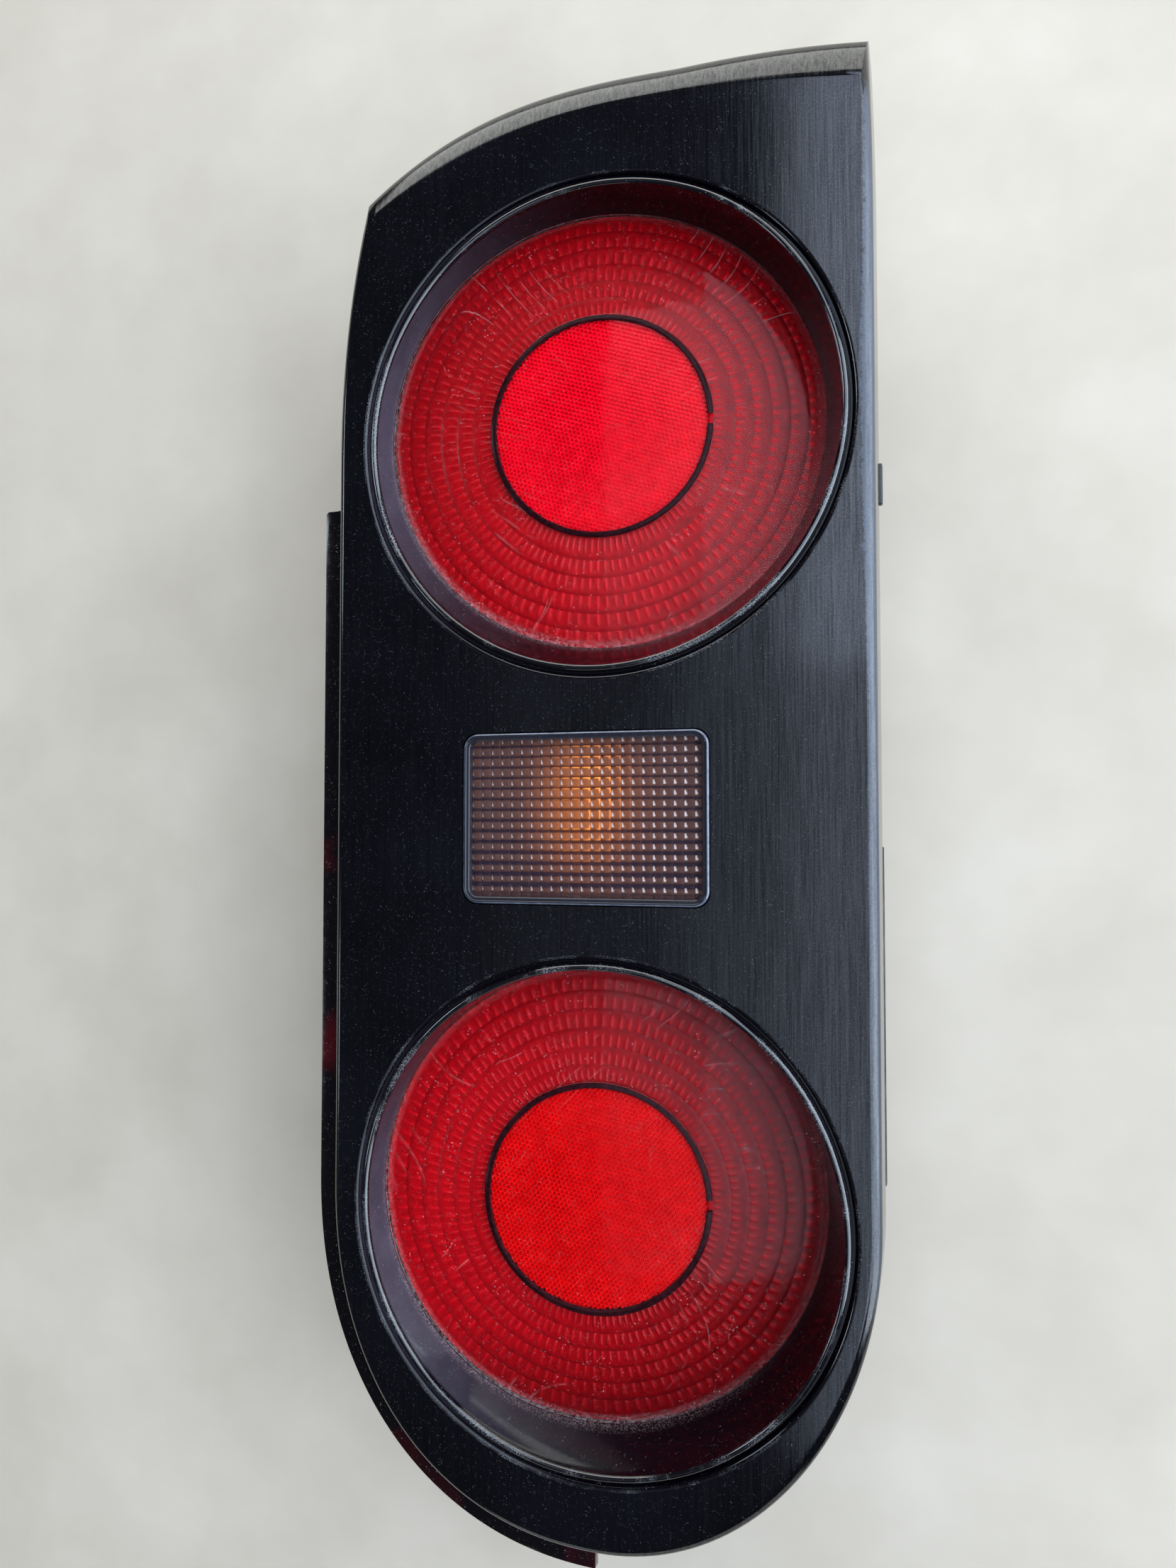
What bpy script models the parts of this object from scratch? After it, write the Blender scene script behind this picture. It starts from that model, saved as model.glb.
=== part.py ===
"""Rear combination lamp: two round red lamps and an indicator window in one smoked black cover.

The lamp lies on its back. +Z is out of the lens face, +Y is towards the square end of the cover,
+X is towards its straight side. Design sizes are in millimetres and become metres at the end.
"""

import math

import bmesh
import bpy
import numpy as np
from mathutils import Matrix, Vector

MM = 0.001
GAP = 0.3                      # clearance between neighbouring pieces

# Outline of the cover at its widest, and of the crease where the flat face ends.
OUTER = {"right": 79.0, "left": 83.5, "bottom": 207.0, "top_right": (78.0, 217.7),
         "top_left": (-75.0, 193.5), "peak": (25.0, 220.9), "peak_power": 3.1}
CREASE = {"right": 76.3, "left": 81.4, "bottom": 204.8, "top_right": (76.3, 204.7),
          "top_left": (-73.2, 186.5), "peak": (12.0, 210.1), "peak_power": 2.3}
ROUND_END_Y = -110.0           # where the straight sides turn into the rounded end
SHOULDER_Y = 110.0             # where the left side starts to lean in
LEFT_POWER, RIGHT_POWER, SHOULDER_POWER = 2.2, 2.0, 2.3

PLATE = 3.0                    # thickness of the cover's face and skirt
SKIRT_BOTTOM = -20.3
EDGE_DROP, EDGE_DROP_SLOPE = 1.4, 0.45

# Round lamps: the mouth in the face, and the oblique recess down to the lens.
UPPER_MOUTH = (0.0, 115.0)
LOWER_MOUTH = (-1.2, -113.9)
MOUTH_R = 70.5
APERTURE_R = 75.2
RIM_R = 74.9
LIP_TOP, GROOVE = 0.5, -1.45
RECESS = 14.4                  # depth at the middle of a lamp
LEAN_X, LEAN_Y = 0.142, -0.214  # sideways shift of the recess for each mm of height
TILT = 0.096                   # the lens is deeper towards +X
LENS_R = 66.5
LENS_FLANGE_R = 68.2
DOME = 7.4
LENS_T = 2.5
ROWS = (33.7, 40.0, 45.3, 50.7, 56.1, 61.5, 66.0)   # edges of the six optic rows
REFLEX_R = 31.5
REFLEX_TOP, REFLEX_BOTTOM = -8.6, -12.4
BEZEL_R = (31.8, 33.4)
BEZEL_NOTCH = 3.2
BOWL_RIM_R, BOWL_RIM_TOP = 66.5, -19.2
BOWL_THROAT_R, BOWL_THROAT_Z = 15.4, -56.0
BOWL_T = 2.0

# Indicator window between the lamps.
WINDOW_CENTRE = (-3.9, 0.2)
WINDOW_SIZE = (74.1, 50.1)
WINDOW_CORNER = 4.6
WINDOW_BORDER = 2.0
WINDOW_TOP, WINDOW_BOTTOM = 0.5, -2.7

# Side flange along the left and the rounded end.
FLANGE_WIDTH = 9.0
FLANGE_TOP, FLANGE_T = -9.0, 3.0
FLANGE_START_Y, FLANGE_END_X = 98.5, -2.8
FLANGE_FILLET = 5.0

# Rear housing.
HOUSING_RIM = -22.3
HOUSING_BACK = -62.0
WALL = 2.5
SIDE_TAB_X = 80.6
PORTS = {"upper": (-2.0, 118.0), "indicator": (-6.0, -0.1), "lower": (-3.2, -110.9)}
PORT_R = 14.3
LUG_R = 16.8
LUG_W = 6.0
LOCK_TURN = 45.0               # degrees from locked to the notches
STUDS = {"upper_left": (-42.0, 162.0), "upper_right": (44.0, 168.0),
         "lower_left": (-34.0, -154.0), "lower_right": (33.0, -154.0)}
BOSS_R, BOSS_H = 8.0, 4.0
SEAT_STEP, SEAT_SIZE = 19.0, 16.0
STUD_R, STUD_TIP = 3.0, -90.0
RIBS_X = (-34.0, 26.0)
RIB_T, RIB_H, RIB_Y = 1.8, 3.0, (-128.0, 136.0)
LAND_Y, LAND_OUT, LAND_H = (-104.0, -8.0), 0.2, 3.0   # ledge low on the straight side
TAB_Y, TAB_H = (91.0, 103.0), 2.6                      # clip tab on the straight side

# Bulb holder, heights measured from the housing's back face.
NECK_R, NECK_TOP = 14.0, 4.4
COLLAR_R, COLLAR_TOP, COLLAR_BOTTOM = 19.0, -2.4, -5.4
CUP_R, CUP_BOTTOM = 12.6, -15.0
BORE_R, BORE_BOTTOM = 8.0, -11.5
COLLAR_GASKET_R = 18.2
SOCKET_OUT = (22.0, 15.0)
SOCKET_IN = (17.4, 10.4)
SOCKET_END, SOCKET_FLOOR = -25.0, -15.0
BLADE = (0.8, 5.0)
BLADE_X, BLADE_TOP, BLADE_END = 4.2, -11.0, -19.8
CAP_R, CAP_TOP, CAP_BOTTOM = 7.6, 5.4, -10.6
GLASS_R, GLASS_TIP, GLASS_T = 12.4, 34.0, 0.9
FILAMENT_Z, FILAMENT_HALF, COIL_R, COIL_TURNS, WIRE_R = 19.0, 4.0, 0.9, 4, 0.22

# Sides of the turned pieces.
RIM_SIDES, LENS_SIDES, BOWL_SIDES, REFLEX_SIDES = 44, 36, 32, 32
HOLDER_SIDES, BULB_SIDES, STUD_SIDES = 28, 16, 16

COLOURS = {                    # base colour, roughness, metallic
    "cover_black": ((0.008, 0.008, 0.011), 0.12, 0.0),
    "flange_smoke": ((0.014, 0.010, 0.012), 0.15, 0.0),
    "rim_black": ((0.010, 0.009, 0.012), 0.14, 0.0),
    "lens_red": ((0.55, 0.004, 0.015), 0.10, 0.0),
    "reflex_red": ((0.85, 0.01, 0.02), 0.18, 0.0),
    "bezel_black": ((0.03, 0.006, 0.010), 0.4, 0.0),
    "window_clear": ((0.30, 0.24, 0.25), 0.08, 0.0),
    "metallised": ((0.80, 0.80, 0.82), 0.10, 1.0),
    "housing_black": ((0.025, 0.025, 0.027), 0.55, 0.0),
    "seal_rubber": ((0.02, 0.02, 0.02), 0.8, 0.0),
    "foam_grey": ((0.07, 0.07, 0.075), 0.95, 0.0),
    "zinc": ((0.62, 0.60, 0.55), 0.35, 1.0),
    "holder_grey": ((0.22, 0.22, 0.21), 0.5, 0.0),
    "brass": ((0.72, 0.52, 0.22), 0.3, 1.0),
    "bulb_glass": ((0.90, 0.92, 0.93), 0.03, 0.0),
    "amber_glass": ((0.90, 0.35, 0.03), 0.05, 0.0),
    "tungsten": ((0.35, 0.34, 0.33), 0.4, 1.0),
}


# ---------------------------------------------------------------- scene and materials

def clear_scene():
    for old in list(bpy.data.objects):
        bpy.data.objects.remove(old, do_unlink=True)


def new_collection(name):
    collection = bpy.data.collections.new(name)
    bpy.context.scene.collection.children.link(collection)
    return collection


def material(slot):
    found = bpy.data.materials.get(slot)
    if found:
        return found
    colour, roughness, metallic = COLOURS[slot]
    made = bpy.data.materials.new(slot)
    made.use_nodes = True
    shader = made.node_tree.nodes["Principled BSDF"]
    shader.inputs["Base Color"].default_value = (*colour, 1.0)
    shader.inputs["Roughness"].default_value = roughness
    shader.inputs["Metallic"].default_value = metallic
    return made


def add_part(name, mesh, slot, parent):
    """Put a mesh in the lamp's collection, under its parent empty."""
    part = bpy.data.objects.new(name, mesh)
    PARTS.objects.link(part)
    mesh.materials.clear()
    mesh.materials.append(material(slot))
    part.parent = parent
    smooth(part)
    return part


def add_cutter(name, mesh, parent):
    cutter = bpy.data.objects.new(name, mesh)
    CUTTERS.objects.link(cutter)
    cutter.hide_render = True
    cutter.display_type = "WIRE"
    cutter.parent = parent
    return cutter


def add_empty(name, location, parent=None):
    empty = bpy.data.objects.new(name, None)
    PARTS.objects.link(empty)
    empty.location = Vector(location) * MM
    empty.parent = parent
    return empty


def smooth(part, angle=32.0):
    part.data.shade_smooth()
    part.data.set_sharp_from_angle(angle=math.radians(angle))


def boolean(part, tool, operation="DIFFERENCE"):
    modifier = part.modifiers.new(f"{operation.title()} {tool.name}", "BOOLEAN")
    modifier.operation = operation
    modifier.solver = "EXACT"
    modifier.object = tool


# ---------------------------------------------------------------- shape tools

def outline(shape):
    """Closed outline, anticlockwise from the foot of the straight right side."""
    right, left, bottom = shape["right"], shape["left"], shape["bottom"] + ROUND_END_Y
    (tr_x, tr_y), (tl_x, tl_y) = shape["top_right"], shape["top_left"]
    peak_x, peak_y = shape["peak"]
    points = [(right, y) for y in (ROUND_END_Y, -60.0, 0.0, 60.0, 120.0, 165.0)]
    points.append((tr_x + 0.3 * (right - tr_x), 200.0))
    for x in np.linspace(tr_x, peak_x, 4)[:-1]:
        points.append((x, peak_y - (peak_y - tr_y) * ((x - peak_x) / (tr_x - peak_x)) ** 2))
    for x in np.linspace(peak_x, tl_x, 10):
        drop = (peak_y - tl_y) * ((peak_x - x) / (peak_x - tl_x)) ** shape["peak_power"]
        points.append((x, peak_y - drop))
    for y in (180.0, 165.0, 148.0, 130.0, SHOULDER_Y):
        lean = ((y - SHOULDER_Y) / (tl_y - SHOULDER_Y)) ** SHOULDER_POWER
        points.append((-left + (left + tl_x) * lean, y))
    points += [(-left, y) for y in (60.0, 0.0, -60.0)]
    points += rounded_end(-left, bottom, LEFT_POWER, (180, 270))
    points += rounded_end(right, bottom, RIGHT_POWER, (270, 360))[1:-1]
    return points


def rounded_end(half_width, height, power, angles, count=10):
    """Quarter of a superellipse below ROUND_END_Y."""
    points = []
    for angle in np.linspace(math.radians(angles[0]), math.radians(angles[1]), count):
        x = abs(half_width) * math.copysign(abs(math.cos(angle)) ** (2 / power), math.cos(angle))
        y = height * abs(math.sin(angle)) ** (2 / power)
        points.append((x, ROUND_END_Y - y))
    return points


def inset(points, distance):
    """Move a closed anticlockwise outline inwards, with mitred corners."""
    ring = np.array(points, float)
    ahead = np.roll(ring, -1, axis=0) - ring
    ahead /= np.linalg.norm(ahead, axis=1)[:, None]
    inward = np.column_stack([-ahead[:, 1], ahead[:, 0]])
    before = np.roll(inward, 1, axis=0)
    mitre = (inward + before) / (1 + (inward * before).sum(axis=1))[:, None]
    return [tuple(p) for p in ring + distance * mitre]


def point_at_x(points, index, x):
    """Where the side that leaves points[index] crosses x."""
    (x0, y0), (x1, y1) = points[index], points[index + 1]
    return (x, y0 + (y1 - y0) * (x - x0) / (x1 - x0))


def blend(first, second, share):
    return [(a[0] + (b[0] - a[0]) * share, a[1] + (b[1] - a[1]) * share)
            for a, b in zip(first, second)]


def at_height(points, height):
    """Give an outline its height, either one value or one for each point."""
    heights = height if hasattr(height, "__len__") else [height] * len(points)
    return [(x, y, z) for (x, y), z in zip(points, heights)]


def loft(name, rings):
    """Closed solid through rings of equally many points, capped at both ends."""
    build = bmesh.new()
    rows = [[build.verts.new(Vector(p) * MM) for p in ring] for ring in rings]
    count = len(rows[0])
    build.faces.new(rows[0])
    build.faces.new(list(reversed(rows[-1])))
    for upper, lower in zip(rows, rows[1:]):
        for i in range(count):
            j = (i + 1) % count
            build.faces.new((upper[i], lower[i], lower[j], upper[j]))
    face_out(build)
    mesh = bpy.data.meshes.new(name)
    build.to_mesh(mesh)
    build.free()
    return mesh


def face_out(build):
    """Make all faces of a closed shape agree and point away from its inside."""
    bmesh.ops.recalc_face_normals(build, faces=build.faces)
    if build.calc_volume(signed=True) < 0:
        bmesh.ops.reverse_faces(build, faces=build.faces)


def flat_plate(name, outlines, top, thickness):
    """Flat piece from one outer outline and any hole outlines, as a filled 2D curve."""
    curve = bpy.data.curves.new(name, "CURVE")
    curve.dimensions = "2D"
    curve.fill_mode = "BOTH"
    curve.extrude = thickness * MM / 2
    for points in outlines:
        spline = curve.splines.new("POLY")
        spline.points.add(len(points) - 1)
        spline.use_cyclic_u = True
        for point, (x, y) in zip(spline.points, points):
            point.co = (x * MM, y * MM, 0.0, 1.0)
    holder = bpy.data.objects.new(name, curve)
    bpy.context.scene.collection.objects.link(holder)
    mesh = mesh_of(holder, name)
    mesh.transform(Matrix.Translation((0, 0, (top - thickness / 2) * MM)))
    return mesh


def mesh_of(source, name):
    """Final mesh of an object, welded, with the object itself removed."""
    shown = source.evaluated_get(bpy.context.evaluated_depsgraph_get())
    mesh = bpy.data.meshes.new_from_object(shown)
    bpy.data.objects.remove(source, do_unlink=True)
    build = bmesh.new()
    build.from_mesh(mesh)
    bmesh.ops.remove_doubles(build, verts=build.verts, dist=0.01 * MM)
    face_out(build)
    build.to_mesh(mesh)
    build.free()
    mesh.name = name
    return mesh


def turned(name, profile, segments, closed=True):
    """Turn a profile of (radius, height) about Z; its outer side runs from top to bottom."""
    count = len(profile)
    edges = [(i, i + 1) for i in range(count - 1)]
    if closed:
        edges.append((count - 1, 0))
    mesh = bpy.data.meshes.new(name)
    mesh.from_pydata([(r * MM, 0.0, z * MM) for r, z in profile], edges, [])
    spun = bpy.data.objects.new(name, mesh)
    bpy.context.scene.collection.objects.link(spun)
    screw = spun.modifiers.new("Turn", "SCREW")
    screw.steps = segments
    screw.render_steps = segments
    screw.use_merge_vertices = True
    screw.merge_threshold = 0.00001
    return mesh_of(spun, name)


def box(name, low, high):
    build = bmesh.new()
    bmesh.ops.create_cube(build, size=1.0)
    size = Vector(high) - Vector(low)
    middle = (Vector(high) + Vector(low)) / 2
    for vertex in build.verts:
        vertex.co = (Vector(c * s for c, s in zip(vertex.co, size)) + middle) * MM
    mesh = bpy.data.meshes.new(name)
    build.to_mesh(mesh)
    build.free()
    return mesh


def cylinder(name, radius, low, high, segments=32):
    build = bmesh.new()
    bmesh.ops.create_cone(build, cap_ends=True, segments=segments, radius1=radius * MM,
                          radius2=radius * MM, depth=(high - low) * MM)
    bmesh.ops.translate(build, verts=build.verts, vec=(0, 0, (high + low) / 2 * MM))
    mesh = bpy.data.meshes.new(name)
    build.to_mesh(mesh)
    build.free()
    return mesh


def rounded_rectangle(centre, size, corner, steps=4):
    points = []
    half_x, half_y = size[0] / 2 - corner, size[1] / 2 - corner
    for quarter, (side_x, side_y) in enumerate(((1, 1), (-1, 1), (-1, -1), (1, -1))):
        for step in range(steps + 1):
            angle = math.radians(90 * quarter + 90 * step / steps)
            points.append((centre[0] + side_x * half_x + corner * math.cos(angle),
                           centre[1] + side_y * half_y + corner * math.sin(angle)))
    return points


def superellipse(centre, half_x, half_y, power, count=32):
    points = []
    for angle in np.linspace(0, 2 * math.pi, count, endpoint=False):
        c, s = math.cos(angle), math.sin(angle)
        points.append((centre[0] + half_x * math.copysign(abs(c) ** (2 / power), c),
                       centre[1] + half_y * math.copysign(abs(s) ** (2 / power), s)))
    return points


# ---------------------------------------------------------------- cover, flange and rims

def edge_drops(crease, outer):
    """How far the rolled edge falls at each point: more where the roll is wider."""
    return [EDGE_DROP + EDGE_DROP_SLOPE * math.dist(a, b) for a, b in zip(crease, outer)]


def front_cover(root):
    crease, outer = outline(CREASE), outline(OUTER)
    drops = edge_drops(crease, outer)
    rings = [at_height(crease, 0.0)]
    for turn in (30, 60, 90):
        share, fall = math.sin(math.radians(turn)), 1 - math.cos(math.radians(turn))
        rings.append(at_height(blend(crease, outer, share), [-d * fall for d in drops]))
    rings.append(at_height(outer, SKIRT_BOTTOM))
    inner = inset(outer, PLATE)
    rings.append(at_height(inner, SKIRT_BOTTOM))
    rings.append(at_height(inner, [-PLATE - d for d in drops]))
    rings.append(at_height(inset(crease, PLATE / 2), -PLATE))
    cover = add_part("front_cover", loft("front_cover", rings), "cover_black", root)
    for label, mouth in (("upper", UPPER_MOUTH), ("lower", LOWER_MOUTH)):
        hole = add_cutter(f"{label}_aperture", cylinder("aperture", APERTURE_R, -9, 9, 64), root)
        hole.location = (mouth[0] * MM, mouth[1] * MM, 0)
        boolean(cover, hole)
    opening = rounded_rectangle(WINDOW_CENTRE, [s + 2 * GAP for s in WINDOW_SIZE], WINDOW_CORNER)
    boolean(cover, add_cutter("window_aperture", flat_plate("window_aperture", [opening], 9, 18), root))


def flange_outline():
    """From a concave fillet on the left side, down and round the end, to a square cut."""
    outer = outline(OUTER)
    inner, rim = inset(outer, -GAP), inset(outer, -FLANGE_WIDTH)
    path = [i for i, (x, y) in enumerate(outer)
            if x < FLANGE_END_X and y < FLANGE_START_Y - FLANGE_FILLET]
    left = outer[path[0]][0]
    fillet = []
    for angle in (0, 30, 60, 90):
        turn = math.radians(angle)
        fillet.append((left - FLANGE_FILLET + FLANGE_FILLET * math.cos(turn) - GAP,
                       FLANGE_START_Y + FLANGE_FILLET * (1 - math.sin(turn))))
    start = [(left - FLANGE_WIDTH, FLANGE_START_Y)]
    end = [point_at_x(ring, path[-1], FLANGE_END_X) for ring in (rim, inner)]
    return fillet + start + [rim[i] for i in path] + end + [inner[i] for i in reversed(path)]


def side_flange(root):
    mesh = flat_plate("side_flange", [flange_outline()], FLANGE_TOP, FLANGE_T)
    add_part("side_flange", mesh, "flange_smoke", root)


def lean(point, centre, tilt_share):
    """Carry a turned piece's point into the oblique recess of a lamp."""
    x, y, z = point
    depth = z - TILT * x * tilt_share
    level = max(min(z, 0.0), -RECESS)
    return Vector((centre[0] + x + LEAN_X * level, centre[1] + y + LEAN_Y * level, depth))


def place_in_recess(mesh, centre, tilt_of):
    for vertex in mesh.vertices:
        point = vertex.co / MM
        vertex.co = lean(point, centre, tilt_of(point.z)) * MM
    return mesh


def rim_ring(label, mouth, root):
    """Edge flush with the face, groove, round lip at the mouth, and the recess wall below it."""
    profile = [(RIM_R, 0.0), (RIM_R, -0.8), (73.8, -PLATE - 0.2), (68.4, -RECESS), (LENS_R, -RECESS),
               (70.2, -0.8), (MOUTH_R, 0.1), (71.3, LIP_TOP), (72.1, 0.2), (72.6, GROOVE),
               (73.4, GROOVE), (73.8, -0.5), (74.3, -0.1)]
    mesh = turned(f"{label}_rim_ring", profile, RIM_SIDES)
    place_in_recess(mesh, mouth, lambda z: min(max(-z / RECESS, 0.0), 1.0))
    add_part(f"{label}_rim_ring", mesh, "rim_black", root)


# ---------------------------------------------------------------- lenses and reflectors

def dome(radius):
    """Height of the lens's smooth front at a radius."""
    return -RECESS - GAP + DOME * (1 - (radius / LENS_R) ** 2)


def red_lens(label, mouth, root):
    """Smooth front and a back stepped in six rows, with a flange under the rim ring."""
    edge = -RECESS - GAP
    profile = [(r, dome(r)) for r in np.linspace(ROWS[0], LENS_R, 4)]
    profile += [(LENS_FLANGE_R, edge), (LENS_FLANGE_R, BOWL_RIM_TOP + GAP),
                (ROWS[-1], BOWL_RIM_TOP + GAP)]
    for inner, outer in reversed(list(zip(ROWS, ROWS[1:]))):
        profile.append((outer, dome(outer) - LENS_T))
        profile.append((inner, dome(inner) - LENS_T - 1.3))
    mesh = place_in_recess(turned(f"{label}_red_lens", profile, LENS_SIDES), mouth, lambda z: 1.0)
    add_part(f"{label}_red_lens", mesh, "lens_red", root)


def reflex_disc(label, mouth, root):
    profile = [(0, REFLEX_TOP), (REFLEX_R - 0.6, REFLEX_TOP), (REFLEX_R, REFLEX_TOP - 0.6),
               (REFLEX_R, REFLEX_BOTTOM), (0, REFLEX_BOTTOM)]
    mesh = turned(f"{label}_reflex_disc", profile, REFLEX_SIDES, closed=False)
    place_in_recess(mesh, mouth, lambda z: 1.0)
    add_part(f"{label}_reflex_disc", mesh, "reflex_red", root)


def reflex_bezel(label, mouth, root):
    """Dark ring round the reflex disc, open for a few millimetres on its right."""
    inner, outer = BEZEL_R
    top, bottom = REFLEX_TOP + 0.2, REFLEX_BOTTOM
    profile = [(outer, top), (outer, bottom), (inner, bottom), (inner, top)]
    mesh = turned(f"{label}_reflex_bezel", profile, REFLEX_SIDES)
    place_in_recess(mesh, mouth, lambda z: 1.0)
    bezel = add_part(f"{label}_reflex_bezel", mesh, "bezel_black", root)
    middle = lean((0, 0, REFLEX_TOP), mouth, 1.0)
    low = (middle.x + inner - 6, middle.y - BEZEL_NOTCH / 2, -30)
    high = (middle.x + outer + 6, middle.y + BEZEL_NOTCH / 2, 5)
    boolean(bezel, add_cutter(f"{label}_bezel_notch", box("notch", low, high), root))


def bowl(label, port, mouth, root):
    """Metallised dish behind a round lens, open at its throat for the bulb."""
    throat, rim = BOWL_THROAT_R, BOWL_RIM_R - 2.5
    inside = []
    for radius in np.linspace(throat, rim, 6):
        share = (radius ** 2 - throat ** 2) / (rim ** 2 - throat ** 2)
        inside.append((radius, BOWL_THROAT_Z + share * (BOWL_RIM_TOP - BOWL_THROAT_Z)))
    outside = [(r + 0.7 * BOWL_T, z - 0.7 * BOWL_T) for r, z in reversed(inside[1:-1])]
    profile = inside + [(BOWL_RIM_R, BOWL_RIM_TOP), (BOWL_RIM_R, BOWL_RIM_TOP - BOWL_T)]
    profile += outside + [(throat + BOWL_T, BOWL_THROAT_Z)]
    mesh = turned(f"{label}_bowl", profile, BOWL_SIDES)
    foot = Vector((*port, 0))
    head = lean((0, 0, -RECESS), mouth, 0.0)
    for vertex in mesh.vertices:
        x, y, z = vertex.co / MM
        share = min(max((z - BOWL_THROAT_Z) / (BOWL_RIM_TOP - BOWL_THROAT_Z), 0.0), 1.0)
        across = foot.lerp(head, share)
        vertex.co = Vector((across.x + x, across.y + y, z - TILT * x * share ** 2)) * MM
    add_part(f"{label}_bowl", mesh, "metallised", root)


def indicator_lens(root):
    """Clear window with a raised border round the field of small optics."""
    size = WINDOW_SIZE
    field = [s - 2 * WINDOW_BORDER for s in size]
    shape = rounded_rectangle(WINDOW_CENTRE, size, WINDOW_CORNER)
    mesh = flat_plate("indicator_lens", [shape], WINDOW_TOP, WINDOW_TOP - WINDOW_BOTTOM)
    lens = add_part("indicator_lens", mesh, "window_clear", root)
    pocket = rounded_rectangle(WINDOW_CENTRE, field, WINDOW_CORNER / 2, 2)
    boolean(lens, add_cutter("window_field", flat_plate("window_field", [pocket], 3.0, 3.1), root))


def indicator_bowl(root):
    """Box reflector that narrows from the window to a round throat at the bulb."""
    mouth, throat = WINDOW_CENTRE, PORTS["indicator"]
    stages = ((0.0, 34.5, 22.5, 9.0), (0.35, 30.5, 21.5, 5.0), (0.75, 22.0, 18.5, 3.0),
              (1.0, BOWL_THROAT_R, BOWL_THROAT_R, 2.0))
    top, bottom = WINDOW_BOTTOM - GAP, BOWL_THROAT_Z
    inside, outside = [], []
    for depth, half_x, half_y, power in stages:
        centre = (mouth[0] + (throat[0] - mouth[0]) * depth, mouth[1] + (throat[1] - mouth[1]) * depth)
        height = top + (bottom - top) * depth
        inside.append(at_height(superellipse(centre, half_x, half_y, power), height))
        wide = superellipse(centre, half_x + BOWL_T, half_y + BOWL_T, power)
        outside.append(at_height(wide, height))
    mesh = tube_loft("indicator_bowl", outside + list(reversed(inside)))
    add_part("indicator_bowl", mesh, "metallised", root)


def tube_loft(name, rings):
    """Closed ring-shaped solid: the last ring joins back to the first."""
    build = bmesh.new()
    rows = [[build.verts.new(Vector(p) * MM) for p in ring] for ring in rings]
    count = len(rows[0])
    for k, upper in enumerate(rows):
        lower = rows[(k + 1) % len(rows)]
        for i in range(count):
            j = (i + 1) % count
            build.faces.new((upper[i], lower[i], lower[j], upper[j]))
    face_out(build)
    mesh = bpy.data.meshes.new(name)
    build.to_mesh(mesh)
    build.free()
    return mesh


# ---------------------------------------------------------------- housing, seals and studs

def housing_shell():
    outer = outline(OUTER)
    back, rim = HOUSING_BACK, HOUSING_RIM
    stations = [(16.0, back), (12.5, back + 1.4), (10.5, back + 5.0), (4.2, rim - 5.0),
                (GAP, rim - 3.4), (GAP, rim), (6.6, rim), (7.4, rim - 5.0),
                (13.2, back + 5.5), (18.0, back + WALL)]
    return loft("rear_housing", [at_height(inset(outer, d), z) for d, z in stations])


def rear_housing(root):
    housing = add_part("rear_housing", housing_shell(), "housing_black", root)
    back = HOUSING_BACK
    for label, (x, y) in STUDS.items():
        boss = add_cutter(f"{label}_boss", cylinder("boss", BOSS_R, back - BOSS_H, back + 1, 24), root)
        boss.location = (x * MM, y * MM, 0)
        boolean(housing, boss, "UNION")
        seat_y = y - math.copysign(SEAT_STEP, y)
        half = SEAT_SIZE / 2
        seat = box("seat", (x - half, seat_y - half, back - BOSS_H), (x + half, seat_y + half, back + 1))
        boolean(housing, add_cutter(f"{label}_seat", seat, root), "UNION")
    for number, x in enumerate(RIBS_X, 1):
        rib = box("rib", (x - RIB_T / 2, RIB_Y[0], back - RIB_H), (x + RIB_T / 2, RIB_Y[1], back + 1))
        boolean(housing, add_cutter(f"rib_{number}", rib, root), "UNION")
    right = OUTER["right"]
    ledges = {"side_land": (LAND_Y, LAND_H, right + LAND_OUT), "side_tab": (TAB_Y, TAB_H, SIDE_TAB_X)}
    for name, ((low_y, high_y), height, out) in ledges.items():
        top = HOUSING_RIM - 0.3
        ledge = box(name, (right - 4, low_y, top - height), (out, high_y, top))
        boolean(housing, add_cutter(name, ledge, root), "UNION")
    for label, port in PORTS.items():
        cut_port(housing, label, port, root)


def cut_port(housing, label, port, root):
    """Round hole for a bulb holder, with three notches that let its lugs in."""
    low, high = HOUSING_BACK - 6, HOUSING_BACK + 6
    hole = add_cutter(f"{label}_port", cylinder("port", PORT_R, low, high), root)
    hole.location = (port[0] * MM, port[1] * MM, 0)
    boolean(housing, hole)
    half = LUG_W / 2 + 0.5
    for number in range(3):
        notch = box("notch", (PORT_R - 4, -half, low), (LUG_R + 0.6, half, high))
        notch.transform(Matrix.Rotation(math.radians(120 * number - LOCK_TURN), 4, "Z"))
        gap = add_cutter(f"{label}_notch_{number + 1}", notch, root)
        gap.location = (port[0] * MM, port[1] * MM, 0)
        boolean(housing, gap)


def seals(root):
    outer = outline(OUTER)
    strip = [inset(outer, 0.7), inset(outer, 3.0)]
    mesh = flat_plate("perimeter_seal", strip, SKIRT_BOTTOM - GAP, SKIRT_BOTTOM - HOUSING_RIM - 2 * GAP)
    add_part("perimeter_seal", mesh, "seal_rubber", root)
    pad = [inset(outer, 17.5), inset(outer, 23.5)]
    mesh = flat_plate("body_gasket", pad, HOUSING_BACK - GAP, BOSS_H - GAP)
    add_part("body_gasket", mesh, "foam_grey", root)


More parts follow.
